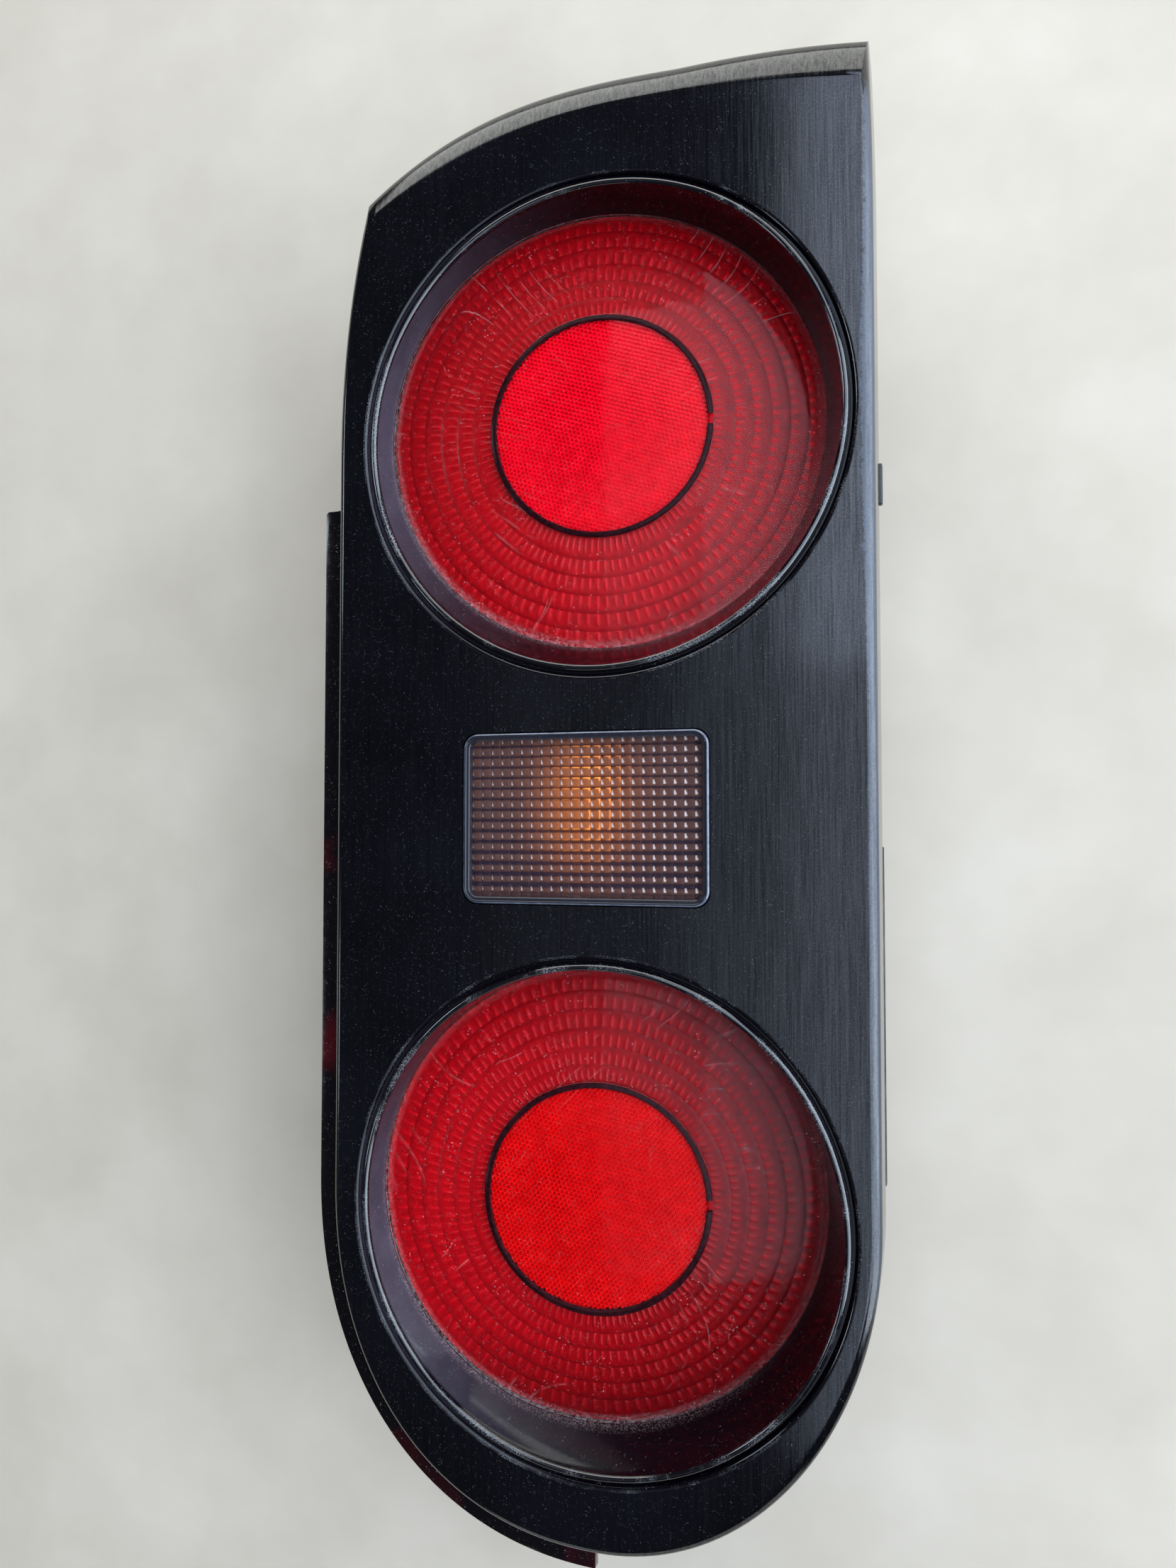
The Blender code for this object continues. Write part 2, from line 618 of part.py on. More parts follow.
def studs(root):
    top = HOUSING_BACK - BOSS_H - GAP
    profile = [(0, top), (5.2, top), (5.2, top - 1.6), (STUD_R, top - 1.6),
               (STUD_R, STUD_TIP + 1.0), (STUD_R - 0.9, STUD_TIP), (0, STUD_TIP)]
    for label, (x, y) in STUDS.items():
        stud = add_part(f"{label}_stud", turned("stud", profile, STUD_SIDES, closed=False), "zinc", root)
        stud.location = (x * MM, y * MM, 0)


# ---------------------------------------------------------------- bulb holders and bulbs

def holder_body(label, hub):
    """Twist-lock holder: neck with three lugs, collar, cup and connector socket."""
    profile = [(BORE_R, NECK_TOP), (NECK_R, NECK_TOP), (NECK_R, COLLAR_TOP), (COLLAR_R, COLLAR_TOP),
               (COLLAR_R, COLLAR_BOTTOM), (CUP_R, COLLAR_BOTTOM), (CUP_R, CUP_BOTTOM),
               (0, CUP_BOTTOM), (0, BORE_BOTTOM), (BORE_R, BORE_BOTTOM)]
    mesh = turned(f"{label}_bulb_holder", profile, HOLDER_SIDES)
    holder = add_part(f"{label}_bulb_holder", mesh, "holder_grey", hub)
    for number in range(3):
        lug = box("lug", (BORE_R + 2, -LUG_W / 2, WALL + 0.4), (LUG_R, LUG_W / 2, NECK_TOP - 0.1))
        lug.transform(Matrix.Rotation(math.radians(120 * number), 4, "Z"))
        boolean(holder, add_cutter(f"{label}_lug_{number + 1}", lug, hub), "UNION")
    (out_x, out_y), (in_x, in_y) = SOCKET_OUT, SOCKET_IN
    block = box("block", (-out_x / 2, -out_y / 2, SOCKET_END), (out_x / 2, out_y / 2, SOCKET_FLOOR + 2))
    boolean(holder, add_cutter(f"{label}_socket_block", block, hub), "UNION")
    cavity = box("cavity", (-in_x / 2, -in_y / 2, SOCKET_END - 2), (in_x / 2, in_y / 2, SOCKET_FLOOR))
    boolean(holder, add_cutter(f"{label}_socket_cavity", cavity, hub))
    for side, name in ((-1, "a"), (1, "b")):
        thick, wide = BLADE[0] / 2 + GAP, BLADE[1] / 2 + GAP
        slot = box("slot", (side * BLADE_X - thick, -wide, SOCKET_FLOOR - 2),
                   (side * BLADE_X + thick, wide, BORE_BOTTOM + 2))
        boolean(holder, add_cutter(f"{label}_slot_{name}", slot, hub))


def holder_parts(label, hub):
    inner, outer, low = NECK_R + GAP, COLLAR_GASKET_R, COLLAR_TOP + GAP
    ring = [(outer, -GAP), (outer, low), (inner, low), (inner, -GAP)]
    add_part(f"{label}_holder_gasket", turned("holder_gasket", ring, HOLDER_SIDES), "seal_rubber", hub)
    for side, name in ((-1, "a"), (1, "b")):
        thick, wide = BLADE[0] / 2, BLADE[1] / 2
        blade = box("blade", (side * BLADE_X - thick, -wide, BLADE_END),
                    (side * BLADE_X + thick, wide, BLADE_TOP))
        add_part(f"{label}_contact_{name}", blade, "brass", hub)


def bulb(label, hub, glass_slot):
    cap = [(0, CAP_TOP), (CAP_R - 0.6, CAP_TOP), (CAP_R - 0.6, CAP_TOP - 2), (CAP_R, CAP_TOP - 3),
           (CAP_R, CAP_BOTTOM + 1), (CAP_R - 2, CAP_BOTTOM), (0, CAP_BOTTOM)]
    add_part(f"{label}_bulb_cap", turned("bulb_cap", cap, BULB_SIDES, closed=False), "brass", hub)
    add_part(f"{label}_bulb_glass", turned("bulb_glass", glass_profile(), BULB_SIDES), glass_slot, hub)
    add_part(f"{label}_filament", filament_mesh(), "tungsten", hub)


def glass_profile():
    """Envelope: a narrow neck, a round bulge and a closed tip, with its foot open."""
    neck, foot = CAP_R - 1.6, CAP_TOP + GAP
    middle = GLASS_TIP - GLASS_R
    start = math.asin(neck / GLASS_R)
    arc = [(math.pi - start) * (1 - k / 6) for k in range(7)]
    outside = [(GLASS_R * math.sin(a), middle + GLASS_R * math.cos(a)) for a in reversed(arc)]
    inner_r = GLASS_R - GLASS_T
    inside = [(inner_r * math.sin(a) * (neck - GLASS_T) / neck if k == 0 else inner_r * math.sin(a),
               middle + inner_r * math.cos(a)) for k, a in enumerate(arc)]
    return outside + [(neck, foot), (neck - GLASS_T, foot)] + inside


def filament_mesh():
    """Two support wires and the coil between their tips, as one bent wire."""
    foot, shelf, half = CAP_TOP + 2 * GAP, FILAMENT_Z, FILAMENT_HALF
    points = [(-2.0, 0, foot), (-2.4, 0, 11.0), (-half, 0, shelf)]
    steps = COIL_TURNS * 5
    for step in range(steps + 1):
        angle = 2 * math.pi * step / 5
        x = -half + 0.6 + (2 * half - 1.2) * step / steps
        points.append((x, COIL_R * math.sin(angle), shelf + COIL_R * math.cos(angle)))
    points += [(half, 0, shelf), (2.4, 0, 11.0), (2.0, 0, foot)]
    curve = bpy.data.curves.new("filament", "CURVE")
    curve.dimensions = "3D"
    curve.bevel_depth = WIRE_R * MM
    curve.bevel_resolution = 0
    curve.use_fill_caps = True
    spline = curve.splines.new("POLY")
    spline.points.add(len(points) - 1)
    for point, place in zip(spline.points, points):
        point.co = (*(Vector(place) * MM), 1.0)
    wire = bpy.data.objects.new("filament", curve)
    bpy.context.scene.collection.objects.link(wire)
    return mesh_of(wire, "filament")


# ---------------------------------------------------------------- assembly

def origin():
    """Middle of the lamp's box, at the level of the stud tips."""
    left, right = -(OUTER["left"] + FLANGE_WIDTH), SIDE_TAB_X
    foot, head = min(y for _, y in flange_outline()), OUTER["peak"][1]
    return Vector(((left + right) / 2, (foot + head) / 2, STUD_TIP))


def build_lamp():
    root = add_empty("lamp", -origin())
    front_cover(root)
    side_flange(root)
    for label, mouth in (("upper", UPPER_MOUTH), ("lower", LOWER_MOUTH)):
        rim_ring(label, mouth, root)
        red_lens(label, mouth, root)
        reflex_disc(label, mouth, root)
        reflex_bezel(label, mouth, root)
        bowl(label, PORTS[label], mouth, root)
    indicator_lens(root)
    indicator_bowl(root)
    rear_housing(root)
    seals(root)
    studs(root)
    for label, (x, y) in PORTS.items():
        hub = add_empty(f"{label}_hub", (x, y, HOUSING_BACK), root)
        holder_body(label, hub)
        holder_parts(label, hub)
        bulb(label, hub, "amber_glass" if label == "indicator" else "bulb_glass")


clear_scene()
PARTS = new_collection("rear_lamp")
CUTTERS = new_collection("cutters")
build_lamp()
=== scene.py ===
"""Looks of the rear combination lamp: smoked cover, two round red lamps and an indicator window.

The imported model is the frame. Shapes are worked out in design millimetres, whose zero is the middle
of the upper and lower lamps' axis in the plane of the cover's flat face, and then placed on the frame.
"""
import math

import bmesh
import bpy
import numpy as np
from mathutils import Matrix, Vector


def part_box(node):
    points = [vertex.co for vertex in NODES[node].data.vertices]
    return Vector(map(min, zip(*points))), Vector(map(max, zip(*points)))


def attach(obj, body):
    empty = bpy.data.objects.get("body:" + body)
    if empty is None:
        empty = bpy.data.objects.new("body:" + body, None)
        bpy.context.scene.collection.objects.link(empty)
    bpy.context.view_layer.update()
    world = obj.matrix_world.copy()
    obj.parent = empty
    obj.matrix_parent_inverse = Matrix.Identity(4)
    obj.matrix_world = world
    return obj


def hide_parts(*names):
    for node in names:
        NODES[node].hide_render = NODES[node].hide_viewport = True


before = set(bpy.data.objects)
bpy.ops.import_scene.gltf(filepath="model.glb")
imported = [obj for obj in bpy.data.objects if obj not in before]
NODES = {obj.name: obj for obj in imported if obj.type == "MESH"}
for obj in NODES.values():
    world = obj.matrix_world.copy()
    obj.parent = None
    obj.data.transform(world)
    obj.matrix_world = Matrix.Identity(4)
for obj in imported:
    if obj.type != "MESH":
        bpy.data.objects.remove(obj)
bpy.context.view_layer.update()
MM = 0.001
LAMP = "lamp"
LABELS = ("upper", "indicator", "lower")

# Outline of the cover at its widest, and of the crease where the flat face ends.
OUTER = {"right": 79.0, "left": 83.5, "bottom": 207.0, "top_right": (78.0, 217.7),
         "top_left": (-75.0, 193.5), "peak": (25.0, 220.9), "peak_power": 3.1}
CREASE = {"right": 76.3, "left": 81.4, "bottom": 204.8, "top_right": (76.3, 204.7),
          "top_left": (-73.2, 186.5), "peak": (12.0, 210.1), "peak_power": 2.3}
ROUND_END_Y, SHOULDER_Y, STRAIGHT_TOP_Y = -110.0, 110.0, 165.0
LEFT_POWER, RIGHT_POWER, SHOULDER_POWER = 2.2, 2.0, 2.3
PLATE, SKIRT_BOTTOM = 3.0, -20.3
EDGE_DROP, EDGE_DROP_SLOPE = 1.4, 0.45
CREASE_TURN = 18.0             # degrees of sudden bend at the crease
CREASE_EASE = 0.35             # half width of the small round on the crease

# Round lamps.
MOUTHS = {"upper": (0.0, 115.0), "lower": (-1.2, -113.9)}
MOUTH_R = 74.9
RECESS = 14.4
LEAN_X, LEAN_Y, TILT = 0.142, -0.214, 0.096
LENS_R, DOME = 66.5, 7.4
ROWS = (33.7, 40.0, 45.3, 50.7, 56.1, 61.5, 65.6)
LOWER_ROWS = 0.975             # the lower lamp's inner rows lie this much closer in
FLUTES = 120
REFLEX_R, BEZEL_R, BEZEL_NOTCH = 32.4, (32.0, 33.7), 3.0
REFLEX_OFF = {"upper": 0.65, "lower": 1.1}     # the reflector sits this far towards +Y of the lens
PRISM = 0.8                    # spacing of the corner-cube lattice
SKIN_T = 0.5
RIM_SIDES, SKIN_SIDES = 192, 160

# Indicator window.
WINDOW_CENTRE, WINDOW_SIZE = (-3.9, 0.2), (74.1, 50.1)
WINDOW_CORNER, WINDOW_BORDER = 4.6, 2.0
WINDOW_BOTTOM = -2.7
PILLOW_X, PILLOW_Y, PILLOW_Z = 3.07, 3.09, -2.25
BULB_AT = (-6.0, 1.0)          # where the amber bulb sits behind the window; the painted amber glow centres here
LIPS_AT = (-2.6, 12.0)         # where the painted highlight on the pillow shoulders is brightest

# Side flange, housing and what is behind it.
FLANGE_WIDTH, FLANGE_TOP, FLANGE_T = 9.0, -9.0, 3.0
FLANGE_START_Y, FLANGE_END_X, FLANGE_FILLET = 98.5, -2.8, 5.0
GAP = 0.3
HOUSING_RIM, HOUSING_BACK, WALL = -22.3, -62.0, 2.5
SIDE_TAB_X, TAB_Y, LAND_Y = 79.8, (91.0, 103.0), (-104.0, -8.0)
PORTS = {"upper": (-2.0, 118.0), "indicator": (-6.0, -0.1), "lower": (-3.2, -110.9)}
PORT_R = 14.3
STUDS = {"upper_left": (-42.0, 162.0), "upper_right": (44.0, 168.0),
         "lower_left": (-34.0, -154.0), "lower_right": (33.0, -154.0)}
BOSS_R, BOSS_H, SEAT_STEP, SEAT_SIZE = 8.0, 4.0, 19.0, 16.0
STUD_R, STUD_TIP = 3.0, -90.0

# The frame says where the design's zero is.
cover_low, cover_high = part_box("front_cover")
ZERO = Vector((cover_low.x / MM + OUTER["left"], cover_high.y / MM - OUTER["peak"][1],
               cover_high.z / MM))


# ---------------------------------------------------------------- meshes

def put(name, mesh, material, replaces=None, body=LAMP, smooth=32.0):
    """Place a mesh drawn in design millimetres on the frame, as a piece that rides on a body."""
    mesh.transform(Matrix.Translation(ZERO * MM) @ Matrix.Scale(MM, 4))
    piece = bpy.data.objects.new(name, mesh)
    bpy.context.scene.collection.objects.link(piece)
    mesh.materials.clear()
    mesh.materials.append(material)
    if smooth:
        mesh.shade_smooth()
        mesh.set_sharp_from_angle(angle=math.radians(smooth))
    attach(piece, body)
    if replaces:
        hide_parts(*([replaces] if isinstance(replaces, str) else replaces))
    return piece


def face_out(mesh):
    """Make a closed mesh's faces agree and point out."""
    build = bmesh.new()
    build.from_mesh(mesh)
    bmesh.ops.recalc_face_normals(build, faces=build.faces)
    if build.calc_volume(signed=True) < 0:
        bmesh.ops.reverse_faces(build, faces=build.faces)
    build.to_mesh(mesh)
    build.free()
    return mesh


def grid_solid(name, rows, wrap_rows=True, colours=None):
    """Closed mesh through rows of points; every row is a loop. Ends are capped unless rows wrap."""
    rows = np.asarray(rows, float)
    count, around = rows.shape[:2]
    index = np.arange(count * around).reshape(count, around)
    lower = np.roll(index, -1, axis=0) if wrap_rows else index[1:]
    upper = index if wrap_rows else index[:-1]
    quads = np.stack([upper, lower, np.roll(lower, -1, axis=1), np.roll(upper, -1, axis=1)], axis=-1)
    faces = quads.reshape(-1, 4).tolist()
    if not wrap_rows:
        faces.append(index[0].tolist())
        faces.append(index[-1][::-1].tolist())
    mesh = bpy.data.meshes.new(name)
    mesh.from_pydata(rows.reshape(-1, 3).tolist(), [], faces)
    if colours is not None:
        paint(mesh, colours.reshape(-1))
    return face_out(mesh)


def paint(mesh, values, name="shade"):
    """Store one number for each vertex for the material to read."""
    layer = mesh.attributes.new(name, "FLOAT", "POINT")
    layer.data.foreach_set("value", np.asarray(values, np.float32))


def around(sides):
    """Even angles round a circle."""
    return np.linspace(0, 2 * math.pi, sides, endpoint=False)


def turned_rows(profile, sides):
    """Rows of points for a profile of (radius, height) turned about Z."""
    angles = around(sides)
    profile = np.asarray(profile, float)
    rows = np.zeros((len(profile), sides, 3))
    rows[..., 0] = profile[:, :1] * np.cos(angles)
    rows[..., 1] = profile[:, :1] * np.sin(angles)
    rows[..., 2] = profile[:, 1:2]
    return rows


def unit(values):
    """Values held between 0 and 1."""
    return np.clip(values, 0.0, 1.0)


def arc(centre, radius, start, stop, count):
    """Points of an arc in a profile; angles in degrees from the outward direction."""
    angles = np.radians(np.linspace(start, stop, count))
    return [(centre[0] + radius * math.cos(a), centre[1] + radius * math.sin(a)) for a in angles]


def plate(name, outlines, top, thickness):
    """Flat piece from one outer outline and any hole outlines."""
    curve = bpy.data.curves.new(name, "CURVE")
    curve.dimensions = "2D"
    curve.fill_mode = "BOTH"
    curve.extrude = thickness / 2
    for points in outlines:
        spline = curve.splines.new("POLY")
        spline.points.add(len(points) - 1)
        spline.use_cyclic_u = True
        for point, (x, y) in zip(spline.points, points):
            point.co = (x, y, 0.0, 1.0)
    mesh = evaluated(bpy.data.objects.new(name, curve))
    mesh.transform(Matrix.Translation((0, 0, top - thickness / 2)))
    return mesh


def evaluated(source):
    """Final mesh of a loose object, welded, with the object itself removed."""
    bpy.context.scene.collection.objects.link(source)
    shown = source.evaluated_get(bpy.context.evaluated_depsgraph_get())
    mesh = bpy.data.meshes.new_from_object(shown)
    bpy.data.objects.remove(source, do_unlink=True)
    build = bmesh.new()
    build.from_mesh(mesh)
    bmesh.ops.remove_doubles(build, verts=build.verts, dist=0.001)
    build.to_mesh(mesh)
    build.free()
    return face_out(mesh)


def cut(mesh, cutters):
    """Mesh with other meshes cut out of it."""
    source = bpy.data.objects.new("cut", mesh)
    tools = []
    for cutter in cutters:
        tool = bpy.data.objects.new("cutter", cutter)
        bpy.context.scene.collection.objects.link(tool)
        tools.append(tool)
        modifier = source.modifiers.new("Cut", "BOOLEAN")
        modifier.operation = "DIFFERENCE"
        modifier.solver = "EXACT"
        modifier.object = tool
    result = evaluated(source)
    for tool in tools:
        bpy.data.objects.remove(tool, do_unlink=True)
    return result


def bevelled(mesh, width, segments=3, angle=35.0):
    """Mesh with its sharp edges rounded."""
    source = bpy.data.objects.new("bevelled", mesh)
    modifier = source.modifiers.new("Bevel", "BEVEL")
    modifier.width = width
    modifier.segments = segments
    modifier.limit_method = "ANGLE"
    modifier.angle_limit = math.radians(angle)
    return evaluated(source)


def block(low, high):
    """Box between two opposite corners."""
    build = bmesh.new()
    bmesh.ops.create_cube(build, size=1.0)
    size, middle = Vector(high) - Vector(low), (Vector(high) + Vector(low)) / 2
    for vertex in build.verts:
        vertex.co = Vector(c * s for c, s in zip(vertex.co, size)) + middle
    mesh = bpy.data.meshes.new("block")
    build.to_mesh(mesh)
    build.free()
    return mesh


def moved(mesh, x=0.0, y=0.0, z=0.0, turn=0.0):
    """Mesh turned about Z by some degrees, then moved."""
    mesh.transform(Matrix.Translation((x, y, z)) @ Matrix.Rotation(math.radians(turn), 4, "Z"))
    return mesh


def turned(name, profile, sides=48, wrap=True):
    """Closed mesh of a profile of (radius, height) turned about Z."""
    return grid_solid(name, turned_rows(profile, sides), wrap)


# ---------------------------------------------------------------- outlines

def outline(shape, fine=5):
    """Closed outline, anticlockwise from the foot of the straight right side."""
    right, left, bottom = shape["right"], shape["left"], shape["bottom"] + ROUND_END_Y
    (tr_x, tr_y), (tl_x, tl_y) = shape["top_right"], shape["top_left"]
    peak_x, peak_y = shape["peak"]
    points = [(right, y) for y in np.linspace(ROUND_END_Y, STRAIGHT_TOP_Y, 3 * fine)]
    for share in np.linspace(0.1, 0.9, 2 * fine):
        bend = share * share
        height = STRAIGHT_TOP_Y + (tr_y - STRAIGHT_TOP_Y) * share
        points.append((right + (tr_x - right) * bend, height))
    for x in np.linspace(tr_x, peak_x, 2 * fine)[:-1]:
        points.append((x, peak_y - (peak_y - tr_y) * ((x - peak_x) / (tr_x - peak_x)) ** 2))
    for x in np.linspace(peak_x, tl_x, 8 * fine):
        drop = (peak_y - tl_y) * ((peak_x - x) / (peak_x - tl_x)) ** shape["peak_power"]
        points.append((x, peak_y - drop))
    for y in np.linspace(tl_y, SHOULDER_Y, 6 * fine)[1:]:
        lean = ((y - SHOULDER_Y) / (tl_y - SHOULDER_Y)) ** SHOULDER_POWER
        points.append((-left + (left + tl_x) * lean, y))
    points += [(-left, y) for y in np.linspace(SHOULDER_Y, ROUND_END_Y, 3 * fine)[1:-1]]
    points += rounded_end(-left, bottom, LEFT_POWER, (180, 270), 9 * fine)
    points += rounded_end(right, bottom, RIGHT_POWER, (270, 360), 9 * fine)[1:-1]
    return points


def rounded_end(half_width, height, power, angles, count):
    """Quarter of a superellipse below ROUND_END_Y."""
    points = []
    for angle in np.linspace(math.radians(angles[0]), math.radians(angles[1]), count):
        x = abs(half_width) * math.copysign(abs(math.cos(angle)) ** (2 / power), math.cos(angle))
        y = height * abs(math.sin(angle)) ** (2 / power)
        points.append((x, ROUND_END_Y - y))
    return points


def inset(points, distance):
    """Move a closed anticlockwise outline inwards, with mitred corners."""
    ring = np.array(points, float)
    ahead = np.roll(ring, -1, axis=0) - ring
    ahead /= np.linalg.norm(ahead, axis=1)[:, None]
    inward = np.column_stack([-ahead[:, 1], ahead[:, 0]])
    before = np.roll(inward, 1, axis=0)
    mitre = (inward + before) / (1 + (inward * before).sum(axis=1))[:, None]
    moved_ring = ring + distance * mitre
    if distance > 0:
        moved_ring = unfolded(moved_ring, ring, distance)
    return [tuple(p) for p in moved_ring]


def unfolded(moved_ring, ring, distance):
    """Straighten the stretches of an inset outline that come too near to the original one."""
    start, span = ring, np.roll(ring, -1, axis=0) - ring
    away = moved_ring[:, None, :] - start[None, :, :]
    share = unit((away * span).sum(axis=2) / (span * span).sum(axis=1))
    nearest = np.linalg.norm(away - share[..., None] * span, axis=2).min(axis=1)
    good = np.nonzero(nearest > distance - 0.02)[0]
    along = np.arange(len(ring))
    wrapped = np.concatenate([good - len(ring), good, good + len(ring)])
    triple = np.concatenate([moved_ring[good]] * 3)
    return np.column_stack([np.interp(along, wrapped, triple[:, axis]) for axis in range(2)])


def raised(points, heights):
    """Outline as 3D points, with one height for all or one for each."""
    flat = np.array(points, float)
    return np.column_stack([flat, np.broadcast_to(heights, len(flat))])


def rounded_rectangle(centre, size, corner, steps=8):
    """Outline of a rectangle with round corners."""
    points = []
    half_x, half_y = size[0] / 2 - corner, size[1] / 2 - corner
    for quarter, (side_x, side_y) in enumerate(((1, 1), (-1, 1), (-1, -1), (1, -1))):
        for step in range(steps + 1):
            angle = math.radians(90 * quarter + 90 * step / steps)
            points.append((centre[0] + side_x * half_x + corner * math.cos(angle),
                           centre[1] + side_y * half_y + corner * math.sin(angle)))
    return points


def into_recess(points, mouth, tilt_share):
    """Carry points drawn about a lamp's own axis into its oblique recess, reflector off centre."""
    points = np.array(points, float)
    radius = np.hypot(points[..., 0], points[..., 1])
    near = unit((ROWS[1] - radius) / (ROWS[1] - ROWS[0]))
    off = REFLEX_OFF["upper" if mouth[1] > 0 else "lower"]
    x, z = points[..., 0].copy(), points[..., 2].copy()
    level = np.clip(z, -RECESS, 0.0)
    points[..., 0] += mouth[0] + LEAN_X * level
    points[..., 1] += mouth[1] + LEAN_Y * level + near * off
    points[..., 2] -= TILT * x * (tilt_share(z) if callable(tilt_share) else tilt_share)
    return points


def dome(radius):
    """Height of a lens's smooth front at a radius from its axis."""
    return -RECESS - GAP + DOME * (1 - (radius / LENS_R) ** 2)


# ---------------------------------------------------------------- shader helpers

class Shade:
    """A material being built: short ways to add and join its nodes."""

    def __init__(self, name):
        self.material = bpy.data.materials.new(name)
        self.material.use_nodes = True
        self.tree = self.material.node_tree
        self.shader = self.tree.nodes["Principled BSDF"]
        coordinates = self.tree.nodes.new("ShaderNodeTexCoord")
        self.place = self.add("ShaderNodeVectorMath", operation="SCALE",
                              Vector=coordinates.outputs["Object"], Scale=1 / MM).outputs[0]

    def add(self, kind, **settings):
        node = self.tree.nodes.new(kind)
        for key, value in settings.items():
            if hasattr(node, key) and key not in node.inputs:
                setattr(node, key, value)
            else:
                self.join(node.inputs[key], value)
        return node

    def join(self, socket, value):
        if isinstance(value, bpy.types.NodeSocket):
            self.tree.links.new(value, socket)
        else:
            socket.default_value = value

    def set(self, **values):
        """Inputs of the Principled shader, with underscores for spaces in their names."""
        for key, value in values.items():
            socket = self.shader.inputs[key.replace("_", " ")]
            if isinstance(value, tuple) and len(value) == 3 and socket.type == "RGBA":
                value = (*value, 1.0)
            self.join(socket, value)

    def stretched(self, x=1.0, y=1.0, z=1.0, shift=0.0):
        node = self.add("ShaderNodeMapping", Vector=self.place)
        node.inputs["Scale"].default_value = (x, y, z)
        node.inputs["Location"].default_value = (shift, shift * 1.7, shift * 0.6)
        return node.outputs[0]

    def noise(self, scale, detail=3.0, rough=0.55, where=None):
        """Noise with features about 1/scale millimetres across."""
        node = self.add("ShaderNodeTexNoise", Vector=where or self.place, Scale=scale,
                        Detail=detail, Roughness=rough, Distortion=0.0)
        return node.outputs["Fac"]

    def cells(self, scale, where=None):
        node = self.add("ShaderNodeTexVoronoi", Vector=where or self.place, Scale=scale)
        return node.outputs["Distance"]

    def between(self, value, low, high, to_low=0.0, to_high=1.0):
        node = self.add("ShaderNodeMapRange", Value=value)
        limits = {"From Min": low, "From Max": high, "To Min": to_low, "To Max": to_high}
        for key, number in limits.items():
            node.inputs[key].default_value = number
        return node.outputs[0]

    def math(self, operation, first, second=0.0, clamp=False):
        node = self.add("ShaderNodeMath", operation=operation, use_clamp=clamp)
        self.join(node.inputs[0], first)
        self.join(node.inputs[1], second)
        return node.outputs[0]

    def patches(self, noise, low, high, to_low=0.0, to_high=1.0):
        """Noise spread between two numbers."""
        return self.between(self.noise(*noise), low, high, to_low, to_high)

    def grain(self, noise, strength, distance):
        """Bump from noise."""
        return self.bump(self.noise(*noise), strength, distance)

    def times(self, first, second, clamp=False):
        return self.math("MULTIPLY", first, second, clamp)

    def plus(self, first, second, clamp=False):
        return self.math("ADD", first, second, clamp)

    def most(self, first, second, clamp=False):
        return self.math("MAXIMUM", first, second, clamp)

    def mix(self, factor, first, second):
        node = self.tree.nodes.new("ShaderNodeMix")
        node.data_type = "RGBA"
        sockets = [s for s in node.inputs if s.enabled]
        for socket, value in zip(sockets, (factor, first, second)):
            if isinstance(value, tuple) and len(value) == 3:
                value = (*value, 1.0)
            self.join(socket, value)
        return [s for s in node.outputs if s.enabled][0]

    def axis(self, name):
        return self.add("ShaderNodeSeparateXYZ", Vector=self.place).outputs[name]

    def read(self, name):
        node = self.tree.nodes.new("ShaderNodeAttribute")
        node.attribute_name = name
        return node.outputs["Fac"]

    def bump(self, height, strength, distance):
        """Bump from a height; distance is in millimetres."""
        node = self.add("ShaderNodeBump", Height=height, Strength=strength, Distance=distance * MM)
        return node.outputs[0]

    def specks(self, scale, size, shift=0.0):
        """Sparse round specks: 1 inside, 0 outside."""
        where = self.stretched(shift=shift)
        spots = self.between(self.cells(scale, where), size, size * 0.55)
        sparse = self.between(self.noise(scale * 0.31, 2.0, where=where), 0.53, 0.60)
        return self.times(spots, sparse, True)


# ---------------------------------------------------------------- materials

